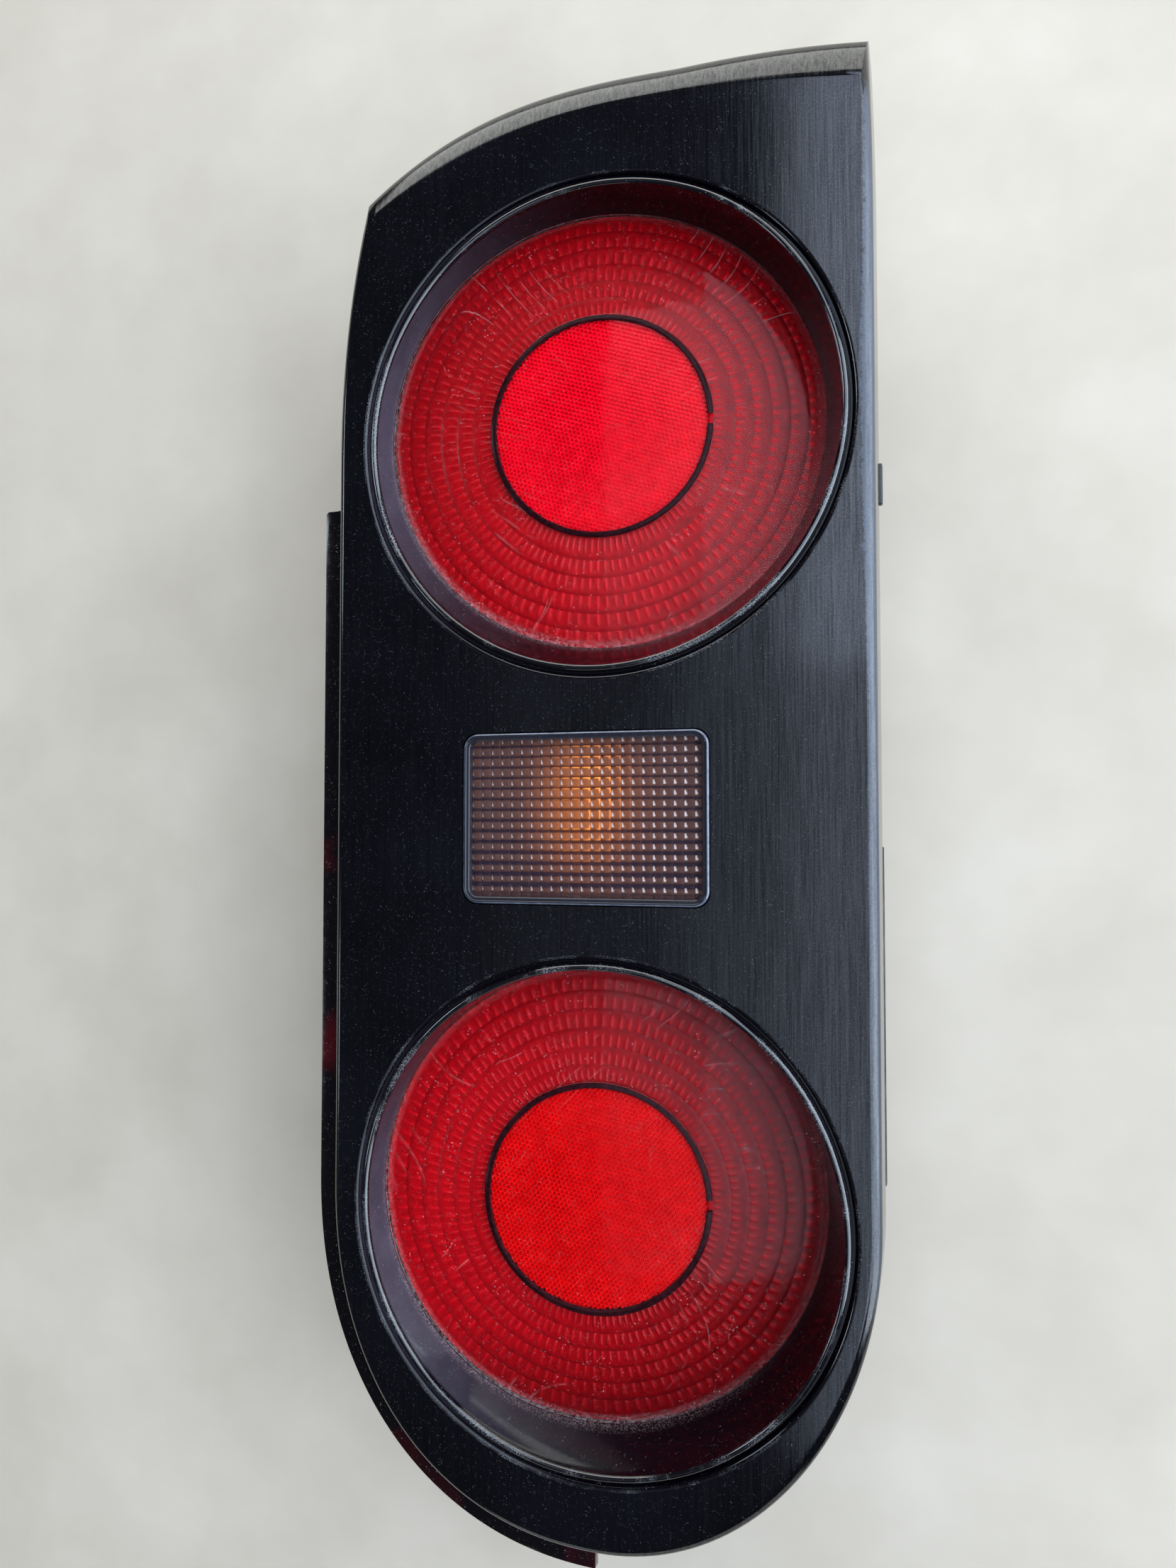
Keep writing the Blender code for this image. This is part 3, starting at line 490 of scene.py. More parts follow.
def smoked_gloss():
    """Smoked black acrylic: hairlines along its length, dust, and one edge painted paler, partly wear
    and partly a painted reflection.
    """
    s = Shade("smoked_gloss")
    hairs = s.noise(1.0, 4.0, 0.65, s.stretched(1.5, 0.030, 1.0))
    fine = s.noise(1.0, 3.0, 0.6, s.stretched(6.5, 0.12, 2.0, 31.0))
    haze = s.patches((0.018, 3.0), 0.35, 0.7)
    dust = s.most(s.specks(1.1, 0.11, 3.0), s.specks(2.6, 0.16, 47.0))
    # wear and painted reflection: a ragged pale blue-grey band along the right edge, partly wear and
    # partly a painted reflection of the light from that side
    wander = s.times(s.patches((0.5, 5.0, 0.7), 0.3, 0.7, -1.0, 0.8),
                     s.between(s.axis("Y"), 20.0, 70.0, 0.15, 1.0))
    widest = s.times(s.between(s.axis("Y"), 175.0, 125.0), s.between(s.axis("Y"), 30.0, 90.0))
    ragged = s.plus(s.plus(s.axis("X"), wander), s.times(widest, 1.3))
    wear_and_highlight = s.times(s.between(ragged, 82.3, 82.9), s.between(s.axis("Y"), -150.0, 60.0, 0.35, 0.9))
    wear_and_highlight = s.times(wear_and_highlight, s.between(s.axis("Y"), 202.0, 196.0))
    wear_and_highlight = s.times(wear_and_highlight, s.between(s.axis("Z"), 86.5, 88.0))
    body = s.mix(haze, (0.0010, 0.0010, 0.0018), (0.0030, 0.0030, 0.0050))
    body = s.mix(s.times(wear_and_highlight, 0.55), body, (0.11, 0.13, 0.17))
    body = s.mix(s.times(dust, 0.5), body, (0.42, 0.44, 0.46))
    rough = s.plus(s.between(hairs, 0.3, 0.75, 0.06, 0.15), s.times(haze, 0.04))
    rough = s.plus(rough, s.times(s.most(dust, wear_and_highlight), 0.25), True)
    streaks = s.plus(hairs, s.times(fine, 0.6))
    grain = s.plus(streaks, s.times(s.noise(1.7, 4.0, 0.85), 1.0))
    on_face = s.between(s.axis("Z"), 85.5, 89.0, 0.3, 1.0)
    spread = s.times(on_face, s.between(grain, 1.08, 1.55, -0.28, 0.28))
    s.set(Base_Color=body, Roughness=rough, IOR=1.53, Specular_IOR_Level=s.plus(spread, 0.56),
          Normal=s.bump(streaks, 0.10, 0.05))
    return s.material


def rim_gloss():
    """Black acrylic of the recess: lip rubbed pale in places, dust where the wall meets the lens, and a
    pale haze film on the left of the wall only, partly haze and partly painted light.
    """
    s = Shade("rim_gloss")
    high = s.between(s.axis("Z"), 89.6, 90.2)
    rub = s.between(s.noise(0.05, 3.0, 0.7, s.stretched(shift=5.0)), 0.48, 0.60)
    scuff = s.times(s.times(rub, high), s.patches((2.6, 3.0, 0.8), 0.50, 0.60))
    dust = s.most(s.specks(0.9, 0.12, 11.0), s.specks(2.2, 0.15, 5.0))
    settled = s.times(s.read("foot"), s.patches((1.9, 5.0, 0.8), 0.48, 0.64))
    # painted light: the pale haze film shows only on the left of the recess wall, where light falls
    film_and_painted_light = s.times(s.read("film_and_painted_light"), s.patches((0.12, 4.0), 0.2, 0.7, 0.6, 1.0))
    body = s.mix(film_and_painted_light, (0.002, 0.0015, 0.003), (0.050, 0.042, 0.058))
    body = s.mix(s.times(scuff, 0.45), body, (0.42, 0.43, 0.45))
    body = s.mix(s.times(dust, 0.6), body, (0.40, 0.38, 0.38))
    body = s.mix(s.times(settled, 0.5), body, (0.40, 0.27, 0.28))
    rough = s.patches((0.6, 4.0), 0.3, 0.8, 0.05, 0.13)
    marks = s.most(s.most(scuff, dust), settled)
    rough = s.plus(rough, s.times(marks, 0.4), True)
    s.set(Base_Color=body, Roughness=rough, IOR=1.56,
          Specular_IOR_Level=s.between(high, 0.0, 1.0, 0.20, 0.80),
          Normal=s.grain((1.2, 4.0), 0.12, 0.04))
    return s.material


def smoked_flange():
    """Thinner smoked acrylic with dark red patches painted at random, a painted stand-in for the red
    lamp's colour showing through it.
    """
    s = Shade("smoked_flange")
    # painted show-through: random patches tinted dark red where the red lamp's colour shows through the
    # smoked plastic
    tint = s.patches((0.022, 3.0), 0.54, 0.70)
    body = s.mix(tint, (0.003, 0.002, 0.003), (0.055, 0.002, 0.005))
    dust = s.most(s.specks(0.8, 0.17, 23.0), s.specks(2.1, 0.2, 9.0))
    body = s.mix(s.times(dust, 0.4), body, (0.40, 0.38, 0.36))
    rough = s.patches((0.4, 4.0), 0.3, 0.75, 0.08, 0.2)
    s.set(Base_Color=body, Roughness=rough, IOR=1.5, Normal=s.grain((0.9, 4.0), 0.1, 0.04),
          Coat_Weight=0.2, Coat_Roughness=0.06)
    return s.material


def red_optics(name, middle_y, left, right, foot, head, rim):
    """Red acrylic of the radial optics: painted highlights on the flutes, painted shade at the steps,
    and a slow painted change of light across it, standing in for light from the bowl behind.
    """
    s = Shade(name)
    shade = s.plus(s.read("shade"), s.patches((0.45, 2.0), 0.3, 0.7, -0.13, 0.13))
    # painted light: left, right, foot, head and rim scale the colour's brightness across the lens and
    # towards its bottom edge, in place of the light and shade the bowl behind gives
    side = s.between(s.axis("X"), -62.0, 74.0, left, right)
    side = s.times(side, s.between(s.axis("Y"), middle_y - 62.0, middle_y + 62.0, foot, head))
    side = s.times(side, s.between(s.axis("Y"), middle_y - 64.0, middle_y - 36.0, rim, 1.0))
    deep = s.mix(shade, (0.075, 0.0002, 0.001), (0.52, 0.001, 0.006))
    node = s.add("ShaderNodeHueSaturation", Color=deep, Value=side)
    s.set(Base_Color=node.outputs[0], Roughness=0.32, IOR=1.5, Specular_IOR_Level=0.08,
          Normal=s.grain((2.2, 2.0), 0.06, 0.05))
    return s.material


def clear_skin(name, index, dusty, marks):
    """Smooth clear front of a lens, with fine curved scratches and dust that gathers at the edge."""
    s = Shade(name)
    dust = s.most(s.specks(0.75, 0.11, 17.0), s.specks(1.9, 0.13, 29.0))
    drift = s.math("FRACT", s.times(s.noise(0.012, 0.0), 26.0))
    hair = s.between(s.math("ABSOLUTE", s.math("SUBTRACT", drift, 0.5)), 0.016, 0.006)
    broken = s.noise(0.06, 2.0, where=s.stretched(shift=9.0))
    scratch = s.times(hair, s.between(broken, 0.56, 0.64))
    grime = s.times(s.read("edge"), s.patches((1.2, 5.0, 0.75), 0.46, 0.72))
    cover = s.most(s.times(dust, dusty), s.times(grime, 0.22))
    cover = s.most(cover, s.times(scratch, marks), True)
    rough = s.patches((0.05, 2.0, 0.5), 0.3, 0.7, 0.03, 0.09)
    rough = s.plus(rough, s.times(cover, 0.5), True)
    s.set(Base_Color=s.mix(cover, (1.0, 0.95, 0.95), (0.62, 0.45, 0.44)), Roughness=rough,
          IOR=index, Transmission_Weight=s.between(cover, 0.0, 1.0, 1.0, 0.1),
          Normal=s.grain((0.25, 2.0), 0.04, 0.1))
    return s.material


def reflex_red(name, strength, blue):
    """Bright red prisms of a reflector disc, coloured by their stored painted light and shade; strength
    sets each disc's overall brightness.
    """
    s = Shade(name)
    shade = s.plus(s.read("shade"), s.patches((0.3, 3.0), 0.3, 0.7, -0.12, 0.12))
    body = s.mix(s.between(shade, 0.0, 0.75), (0.34, 0.0, 0.002), (0.86, 0.0005, blue))
    # painted highlight: the ridges with the highest stored shade are painted a brighter red
    body = s.mix(s.between(shade, 0.75, 1.1), body, (1.0, 0.02, 0.02 + blue))
    body = s.add("ShaderNodeHueSaturation", Color=body, Value=strength).outputs[0]
    s.set(Base_Color=body, Roughness=0.3, IOR=1.5, Specular_IOR_Level=0.06,
          Specular_Tint=(1.0, 0.2, 0.2))
    return s.material


def bezel_dark():
    """Dark ring with a faint red cast."""
    s = Shade("bezel_dark")
    body = s.mix(s.patches((0.8, 4.0), 0.35, 0.7), (0.010, 0.002, 0.003), (0.030, 0.006, 0.009))
    s.set(Base_Color=body, Roughness=s.patches((1.1, 3.0), 0.3, 0.7, 0.12, 0.3),
          Specular_IOR_Level=0.06)
    return s.material


def window_border():
    """Clear acrylic border over the dark cover: dark grey, with a painted highlight along its rounded
    outer edge, broken up in places.
    """
    s = Shade("window_border")
    edge = s.read("edge")
    glitter = s.patches((2.4, 4.0, 0.8), 0.60, 0.72)
    body = s.mix(s.times(glitter, 0.3), (0.013, 0.013, 0.019), (0.30, 0.34, 0.38))
    # painted highlight: a pale blue-grey band along the rounded outer edge, broken up by noise
    wear_and_highlight = s.times(edge, s.patches((0.35, 5.0, 0.8), 0.35, 0.65, 0.25, 1.0))
    s.set(Base_Color=s.mix(wear_and_highlight, body, (0.16, 0.19, 0.26)),
          Roughness=s.patches((0.9, 3.0), 0.3, 0.7, 0.08, 0.18), IOR=1.5,
          Specular_IOR_Level=s.between(edge, 0.0, 1.0, 0.42, 1.0),
          Normal=s.grain((1.8, 3.0), 0.08, 0.05))
    return s.material


def window_cells():
    """Pillow optics over an amber bulb: brown cells, painted shade on their steps, painted pale glints,
    painted highlights on their shoulders and a painted amber glow.
    """
    s = Shade("window_cells")
    shade, painted_glint, lip, painted_glow = s.read("shade"), s.read("painted_glint"), s.read("lip"), s.read("painted_glow")
    # painted shade: the stored shade darkens the step band and gaps of each cell
    mottled = s.times(shade, s.patches((0.9, 4.0, 0.7), 0.25, 0.75, 0.65, 1.15))
    cell = s.mix(mottled, (0.012, 0.008, 0.013), (0.056, 0.028, 0.022))
    # painted glow: the cells turn amber where the stored painted glow is high
    warm = s.mix(mottled, (0.048, 0.014, 0.008), (0.225, 0.066, 0.020))
    cell = s.mix(painted_glow, cell, warm)
    # painted highlight: bright amber on the cell shoulders that face away from the bulb
    cell = s.mix(lip, cell, (0.98, 0.30, 0.045))
    # painted glint: pale grey wedges near the left of each cell
    cell = s.mix(painted_glint, cell, (0.44, 0.40, 0.39))
    s.set(Base_Color=cell, Roughness=s.patches((1.6, 3.0), 0.3, 0.7, 0.16, 0.30), IOR=1.5,
          Specular_IOR_Level=0.06)
    return s.material


def moulded_black():
    """Housing plastic with a fine spark-eroded grain and grey dust in patches."""
    s = Shade("moulded_black")
    dust = s.patches((0.06, 5.0, 0.65), 0.48, 0.75)
    body = s.mix(s.times(dust, 0.3), (0.014, 0.014, 0.015), (0.16, 0.15, 0.135))
    scuff = s.between(s.noise(1.0, 4.0, 0.7, s.stretched(0.5, 0.06, 0.3)), 0.62, 0.72)
    body = s.mix(s.times(scuff, 0.25), body, (0.20, 0.20, 0.20))
    rough = s.patches((0.5, 4.0), 0.3, 0.7, 0.42, 0.62)
    s.set(Base_Color=body, Roughness=rough, Normal=s.grain((3.2, 3.0, 0.7), 0.25, 0.12))
    return s.material


def foam():
    s = Shade("foam")
    pores = s.cells(1.5)
    # painted shade: each pore is painted darker towards its middle, where the bump sinks
    body = s.mix(s.between(pores, 0.0, 0.5), (0.012, 0.012, 0.013), (0.075, 0.075, 0.078))
    body = s.mix(s.patches((0.05, 3.0), 0.4, 0.7, 0.0, 0.3), body, (0.17, 0.155, 0.13))
    s.set(Base_Color=body, Roughness=0.95, Normal=s.bump(pores, 0.6, 0.35))
    return s.material


def rubber():
    s = Shade("seal_rubber")
    body = s.mix(s.patches((0.3, 4.0), 0.4, 0.7), (0.012, 0.012, 0.012), (0.040, 0.039, 0.036))
    s.set(Base_Color=body, Roughness=s.patches((0.9, 3.0), 0.3, 0.7, 0.6, 0.85),
          Normal=s.grain((2.6, 3.0), 0.2, 0.1))
    return s.material


def zinc():
    """Yellowish zinc plate, dulled in patches."""
    s = Shade("zinc")
    bloom = s.patches((0.35, 5.0, 0.7), 0.4, 0.7)
    body = s.mix(bloom, (0.62, 0.56, 0.40), (0.40, 0.39, 0.36))
    s.set(Base_Color=body, Metallic=1.0, Roughness=s.patches((1.4, 4.0), 0.3, 0.7, 0.25, 0.5),
          Normal=s.grain((2.8, 3.0), 0.1, 0.06))
    return s.material


def holder_plastic():
    s = Shade("holder_plastic")
    body = s.mix(s.patches((0.12, 4.0), 0.35, 0.7), (0.115, 0.115, 0.11), (0.17, 0.167, 0.155))
    grime = s.patches((0.5, 5.0, 0.7), 0.56, 0.72)
    body = s.mix(s.times(grime, 0.4), body, (0.06, 0.055, 0.045))
    s.set(Base_Color=body, Roughness=s.patches((0.8, 3.0), 0.3, 0.7, 0.38, 0.58),
          Normal=s.grain((2.4, 3.0), 0.15, 0.08))
    return s.material


def brass():
    s = Shade("dull_brass")
    tarnish = s.patches((0.6, 5.0, 0.7), 0.45, 0.72)
    body = s.mix(tarnish, (0.78, 0.56, 0.24), (0.34, 0.22, 0.10))
    s.set(Base_Color=body, Metallic=1.0, Roughness=s.between(tarnish, 0.0, 1.0, 0.26, 0.5),
          Normal=s.grain((2.0, 3.0), 0.04, 0.02))
    return s.material


def bulb_glass(name, tint):
    s = Shade(name)
    s.set(Base_Color=tint, Roughness=s.patches((0.5, 3.0), 0.4, 0.8, 0.0, 0.05),
          Transmission_Weight=1.0, IOR=1.47)
    return s.material


def tungsten():
    s = Shade("tungsten")
    body = s.mix(s.noise(1.5, 3.0), (0.20, 0.19, 0.19), (0.42, 0.41, 0.40))
    s.set(Base_Color=body, Metallic=1.0, Roughness=0.4)
    return s.material


def metallised():
    """Vacuum-metallised reflector: bright, with a faint orange peel and a few dull spots."""
    s = Shade("metallised")
    dull = s.patches((0.2, 5.0, 0.7), 0.62, 0.75)
    s.set(Base_Color=s.mix(dull, (0.86, 0.86, 0.88), (0.55, 0.53, 0.52)), Metallic=1.0,
          Roughness=s.between(dull, 0.0, 1.0, 0.06, 0.3), Normal=s.grain((0.6, 2.0), 0.06, 0.1))
    return s.material


def pale_floor():
    s = Shade("pale_floor")
    cloud = s.patches((0.012, 4.0, 0.6), 0.35, 0.7)
    body = s.mix(cloud, (0.52, 0.455, 0.365), (0.60, 0.53, 0.435))
    s.set(Base_Color=body, Roughness=0.85)
    return s.material


# ---------------------------------------------------------------- cover and flange

def cover_shell(material):
    """Flat face, small round on the crease, rolled edge, skirt and the inside of the shell."""
    crease, outer = np.array(outline(CREASE)), np.array(outline(OUTER))
    drops = EDGE_DROP + EDGE_DROP_SLOPE * np.linalg.norm(outer - crease, axis=1)
    first = math.radians(CREASE_TURN)

    def rolled(turn):
        share = (math.sin(turn) - math.sin(first)) / (1 - math.sin(first))
        fall = (math.cos(first) - math.cos(turn)) / math.cos(first)
        return raised(crease + (outer - crease) * share, -drops * fall)

    start = math.radians(CREASE_TURN + 5.0)
    flat = raised(inset(crease, CREASE_EASE), 0.0)
    corner, landing = raised(crease, 0.0), rolled(start)
    rows = [raised(inset(crease, 1.4), 0.0), flat]
    for t in (0.3, 0.55, 0.8):
        rows.append((1 - t) ** 2 * flat + 2 * t * (1 - t) * corner + t * t * landing)
    rows += [rolled(turn) for turn in np.linspace(start, math.pi / 2, 12)]
    inner = inset(outer, PLATE)
    rows += [raised(outer, SKIRT_BOTTOM + 0.4), raised(inset(outer, 0.4), SKIRT_BOTTOM),
             raised(inner, SKIRT_BOTTOM), raised(inner, -PLATE - drops),
             raised(inset(crease, PLATE / 2), -PLATE)]
    shell = grid_solid("cover_shell", rows, wrap_rows=False)
    cutters = []
    for mouth in MOUTHS.values():
        edge = MOUTH_R + 0.04
        hole = turned("aperture", [(0.001, 9), (edge, 9), (edge, -9), (0.001, -9)], 192, False)
        cutters.append(moved(hole, *mouth))
    opening = rounded_rectangle(WINDOW_CENTRE, [size + 2 * GAP for size in WINDOW_SIZE], WINDOW_CORNER)
    cutters.append(plate("window_opening", [opening], 9, 18))
    put("cover_shell", cut(shell, cutters), material, "front_cover")


def flange_outline():
    """From a concave fillet on the left side, down and round the end, to a square cut."""
    outer = outline(OUTER)
    inner, rim = inset(outer, -GAP), inset(outer, -FLANGE_WIDTH)
    path = [i for i, (x, y) in enumerate(outer)
            if x < FLANGE_END_X and y < FLANGE_START_Y - FLANGE_FILLET]
    left = outer[path[0]][0]
    fillet = []
    for angle in np.linspace(0, math.pi / 2, 8):
        fillet.append((left - FLANGE_FILLET * (1 - math.cos(angle)) - GAP,
                       FLANGE_START_Y + FLANGE_FILLET * (1 - math.sin(angle))))
    start = [(left - FLANGE_WIDTH + 0.8, FLANGE_START_Y), (left - FLANGE_WIDTH, FLANGE_START_Y - 0.8)]
    last = path[-1]
    end = [(FLANGE_END_X, rim[last][1]), (FLANGE_END_X, inner[last][1])]
    return fillet + start + [rim[i] for i in path] + end + [inner[i] for i in reversed(path)]


def flange_strip(material):
    mesh = bevelled(plate("flange_strip", [flange_outline()], FLANGE_TOP, FLANGE_T), 0.4, 2, 50.0)
    put("flange_strip", mesh, material, "side_flange")


# ---------------------------------------------------------------- round lamps

def rim(label, mouth, material):
    """Rounded edge of the opening, groove with a fine ridge, round lip, and the leaning recess wall."""
    profile = [(MOUTH_R, 0.0)] + arc((MOUTH_R - 0.1, -1.35), 1.35, 88, 172, 10)
    profile += [(MOUTH_R - 1.6, -1.45), (72.8, -1.45), (72.6, -1.0), (72.45, -1.0), (72.35, -0.5)]
    profile += arc((71.35, -0.45), 0.98, 12, 172, 12)
    throat, start = 70.3, 0.8
    for t in np.linspace(0, 1, 14):
        profile.append((throat + (LENS_R - throat) * t, -start - (RECESS - start) * t))
    profile += [(LENS_R + 1.6, -RECESS), (73.6, -3.2), (MOUTH_R, -1.6)]
    rows = into_recess(turned_rows(profile, RIM_SIDES), mouth, lambda z: unit(-z / RECESS))
    mesh = grid_solid("rim", rows)
    depth = np.array([-z for _, z in profile])
    angle = around(RIM_SIDES)
    lower_left = 0.05 + 0.95 * unit(np.cos(angle - math.radians(232)))
    foot = unit((depth - RECESS + 3.0) / 2.4)
    paint(mesh, (foot[:, None] * lower_left).reshape(-1), "foot")
    # painted light: the haze film is stored only on the left of the wall, where light falls on it
    left = unit(np.cos(angle - math.radians(175 if label == "upper" else 195)))
    paint(mesh, (unit(depth - 0.8)[:, None] * left ** 2).reshape(-1), "film_and_painted_light")
    put(f"{label}_rim", mesh, material, f"{label}_rim_ring")


def lens_optics(label, mouth, material):
    """Rows of narrow radial flutes, each row ending in a fine step; a ledge carries the bezel. The
    stored painted shades put painted highlights on the flute crowns, stronger on the straight side, and
    painted shade at the steps and across the straight side.
    """
    phases = np.array([0.0, 0.18, 0.32, 0.41, 0.5, 0.59, 0.68, 0.82])
    phase = np.tile(phases, FLUTES)
    across = (np.repeat(np.arange(FLUTES), len(phases)) + phase) * 2 * math.pi / FLUTES
    straight_side = np.cos(across)
    near, far = unit(straight_side), unit(-straight_side)
    ridge = np.exp(-((phase - 0.5) / (0.13 + 0.07 * near)) ** 2)
    circle = np.column_stack([np.cos(across), np.sin(across), np.ones(len(across))])
    rows, painted_shades = [], []
    for radius in (REFLEX_R + 0.1, ROWS[0] - 0.1):
        rows.append(circle * (radius, radius, dome(radius) - 1.2))
        painted_shades.append(np.full(len(across), 0.75))
    closer = 1.0 if label == "upper" else LOWER_ROWS
    edges = (ROWS[0], *(closer * row for row in ROWS[1:-1]), ROWS[-1])
    for inner, outer in zip(edges, edges[1:]):
        for u in (0.0, 0.03, 0.08, 0.3, 0.45, 0.55, 0.66, 0.74, 0.97):
            reach = 0.70 - 0.22 * near
            on_tooth = unit(u / 0.08) * unit((reach - u) / 0.12)
            radius = inner + (outer - inner) * u
            height = dome(radius) - SKIN_T - 1.2 + 0.30 * ridge * on_tooth + 0.12 * u
            rows.append(np.column_stack([radius * circle[:, 0], radius * circle[:, 1], height]))
            # painted shade: darker on the straight side and lighter on the far side, with dark lines
            # painted at the row steps; the flute crowns get a painted highlight
            ground = 0.50 - 0.24 * near + 0.12 * far - (0.12 if u in (0.0, 0.97) else 0.0)
            painted_shades.append(ground + (0.38 + 0.20 * near - 0.12 * far) * ridge * on_tooth)
    for radius in (ROWS[-1], LENS_R - 0.1):
        rows.append(circle * (radius, radius, dome(radius) - SKIN_T - 0.9))
        painted_shades.append(0.52 - 0.2 * near)
    for radius in (LENS_R - 0.1, REFLEX_R + 0.1):
        rows.append(circle * (radius, radius, dome(radius) - SKIN_T - 3.4))
        painted_shades.append(np.full(len(across), 0.3))
    placed = into_recess(np.array(rows), mouth, 1.0)
    mesh = grid_solid("optics", placed, colours=np.array(painted_shades))
    put(f"{label}_lens_optics", mesh, material, f"{label}_red_lens", smooth=60.0)


def skin(label, part, mouth, radii, material):
    """Thin clear shell over the optics; it casts no shadow on what is under it."""
    inner, outer = radii
    steps = np.linspace(outer, max(inner, 0.4), 24)
    profile = [(r, dome(r)) for r in steps] + [(r, dome(r) - SKIN_T) for r in reversed(steps)]
    rows = into_recess(turned_rows(profile, SKIN_SIDES), mouth, 1.0)
    mesh = grid_solid("skin", rows, wrap_rows=inner > 0)
    radius = np.array([r for r, _ in profile])
    near = unit((radius - (LENS_R - 2.6)) / 2.4)
    angle = around(SKIN_SIDES)
    lower_left = 0.25 + 0.75 * unit(np.cos(angle - math.radians(235)))
    paint(mesh, (near[:, None] * lower_left).reshape(-1), "edge")
    piece = put(f"{label}_{part}", mesh, material, smooth=60.0)
    piece.visible_shadow = False


def reflex_prisms(label, mouth, material, turn, split):
    """Corner-cube prisms: lattice points step down in threes, and each prism has three faces.

    The stored painted shades put painted highlights on the ridges near the peaks and painted shade in
    the pits, and give each of the three faces its own painted tone; a split reflector has its prisms
    turned the other way above its middle.
    """
    step = PRISM * math.sqrt(0.5)
    reach = int(REFLEX_R / (PRISM * math.sqrt(0.75))) + 2
    spin = Matrix.Rotation(math.radians(turn), 2)
    points, painted_shades, faces, index = [], [], [], {}

    def lattice(i, j):
        return spin @ Vector((PRISM * (i + j / 2), PRISM * j * math.sqrt(0.75)))

    def corner(i, j):
        if (i, j) not in index:
            x, y = lattice(i, j)
            level = (i - j) % 3
            index[i, j] = len(points)
            points.append((x, y, dome(math.hypot(x, y)) - SKIN_T - 0.35 - level * step))
            # painted light: peaks and their ridges bright, pits dark
            painted_shades.append((1.05, 0.95, 0.40)[level])
        return index[i, j]

    for i in range(-2 * reach, 2 * reach + 1):
        for j in range(-reach, reach + 1):
            if (i - j) % 3:
                continue
            ring = [(i + 1, j), (i, j + 1), (i - 1, j + 1), (i - 1, j), (i, j - 1), (i + 1, j - 1)]
            x, y = lattice(i, j)
            if math.hypot(x, y) > REFLEX_R + 0.2:
                continue
            for side in range(3):
                loop = [corner(i, j)] + [corner(*ring[(2 * side + k) % 6]) for k in range(3)]
                middle = np.mean([points[c] for c in loop], axis=0)
                # painted shade: each of the three faces gets its own tone
                tone = (0.22, 0.50, 0.34)[(side + (split and y > 0)) % 3]
                inner = []
                for c in loop:
                    inner.append(len(points))
                    points.append(tuple(middle + 0.70 * (np.array(points[c]) - middle)))
                    painted_shades.append(tone)
                faces.append(inner)
                for k in range(4):
                    faces.append([loop[k], loop[(k + 1) % 4], inner[(k + 1) % 4], inner[k]])
    mesh = bpy.data.meshes.new("prisms")
    mesh.from_pydata(into_recess(points, mouth, 1.0).tolist(), [], faces)
    paint(mesh, painted_shades)
    put(f"{label}_reflex_prisms", closed_below(mesh, 1.6), material, f"{label}_reflex_disc",
        smooth=None)


def closed_below(mesh, depth):
    """Turn an upward open sheet into a closed solid with a copy of its rim and a floor below."""
    build = bmesh.new()
    build.from_mesh(mesh)
    loose = [v for v in build.verts if not v.link_faces]
    bmesh.ops.delete(build, geom=loose, context="VERTS")
    border = [e for e in build.edges if e.is_boundary]
    made = bmesh.ops.extrude_edge_only(build, edges=border)["geom"]
    fresh = [v for v in made if isinstance(v, bmesh.types.BMVert)]
    low = min(v.co.z for v in fresh) - depth
    for vertex in fresh:
        vertex.co.z = low
    bmesh.ops.holes_fill(build, edges=[e for e in build.edges if e.is_boundary], sides=0)
    build.to_mesh(mesh)
    build.free()
    return face_out(mesh)


def bezel(label, mouth, material):
    """Flush dark ring round the reflector disc, open at its right."""
    inner, outer = BEZEL_R
    top = [(outer, dome(outer) - 0.25), (outer - 0.25, dome(outer) + 0.03),
           (inner + 0.25, dome(inner) + 0.03), (inner, dome(inner) - 0.25)]
    profile = top + [(inner, dome(inner) - 1.1), (outer, dome(outer) - 1.1)]
    half = math.degrees(BEZEL_NOTCH / 2 / inner)
    angles = np.radians(np.linspace(half, 360 - half, 150))
    loops = []
    for angle in angles:
        loops.append([(r * math.cos(angle), r * math.sin(angle), z) for r, z in profile])
    mesh = grid_solid("bezel", into_recess(loops, mouth, 1.0), wrap_rows=False)
    put(f"{label}_bezel", mesh, material, f"{label}_reflex_bezel", smooth=50.0)


# ---------------------------------------------------------------- indicator window

def window_outline(distance, corner):
    """The window's outline, moved inwards by a distance."""
    size = [side - 2 * distance for side in WINDOW_SIZE]
    return rounded_rectangle(WINDOW_CENTRE, size, corner)


def window_frame(material):
    """Raised border with a rounded outer edge and a drop down to the field."""
    stations = [(0.0, WINDOW_BOTTOM), (0.0, -0.3), (0.12, 0.12), (0.35, 0.38), (0.6, 0.5), (0.8, 0.5),
                (0.95, 0.36), (1.15, 0.30), (1.75, 0.30), (WINDOW_BORDER, 0.1), (WINDOW_BORDER, -2.5)]
    rows, edges = [], []
    for distance, height in stations:
        rows.append(raised(window_outline(distance, WINDOW_CORNER - distance), height))
        # the edge value marks the rounded outer edge, where the border's painted highlight goes
        edges.append(np.full(len(rows[-1]), float(0.0 < distance < 0.5)))
    rows.append(raised(window_outline(WINDOW_BORDER, WINDOW_CORNER - WINDOW_BORDER), WINDOW_BOTTOM))
    edges.append(np.zeros(len(rows[-1])))
    mesh = grid_solid("window_frame", rows)
    paint(mesh, np.concatenate(edges), "edge")
    put("window_frame", mesh, material, "indicator_lens")


def falloff(distance, before, after):
    """1 at the middle, fading with a different reach on each side of it."""
    return np.exp(-np.abs(distance / np.where(distance < 0, before, after)) ** 2.2)


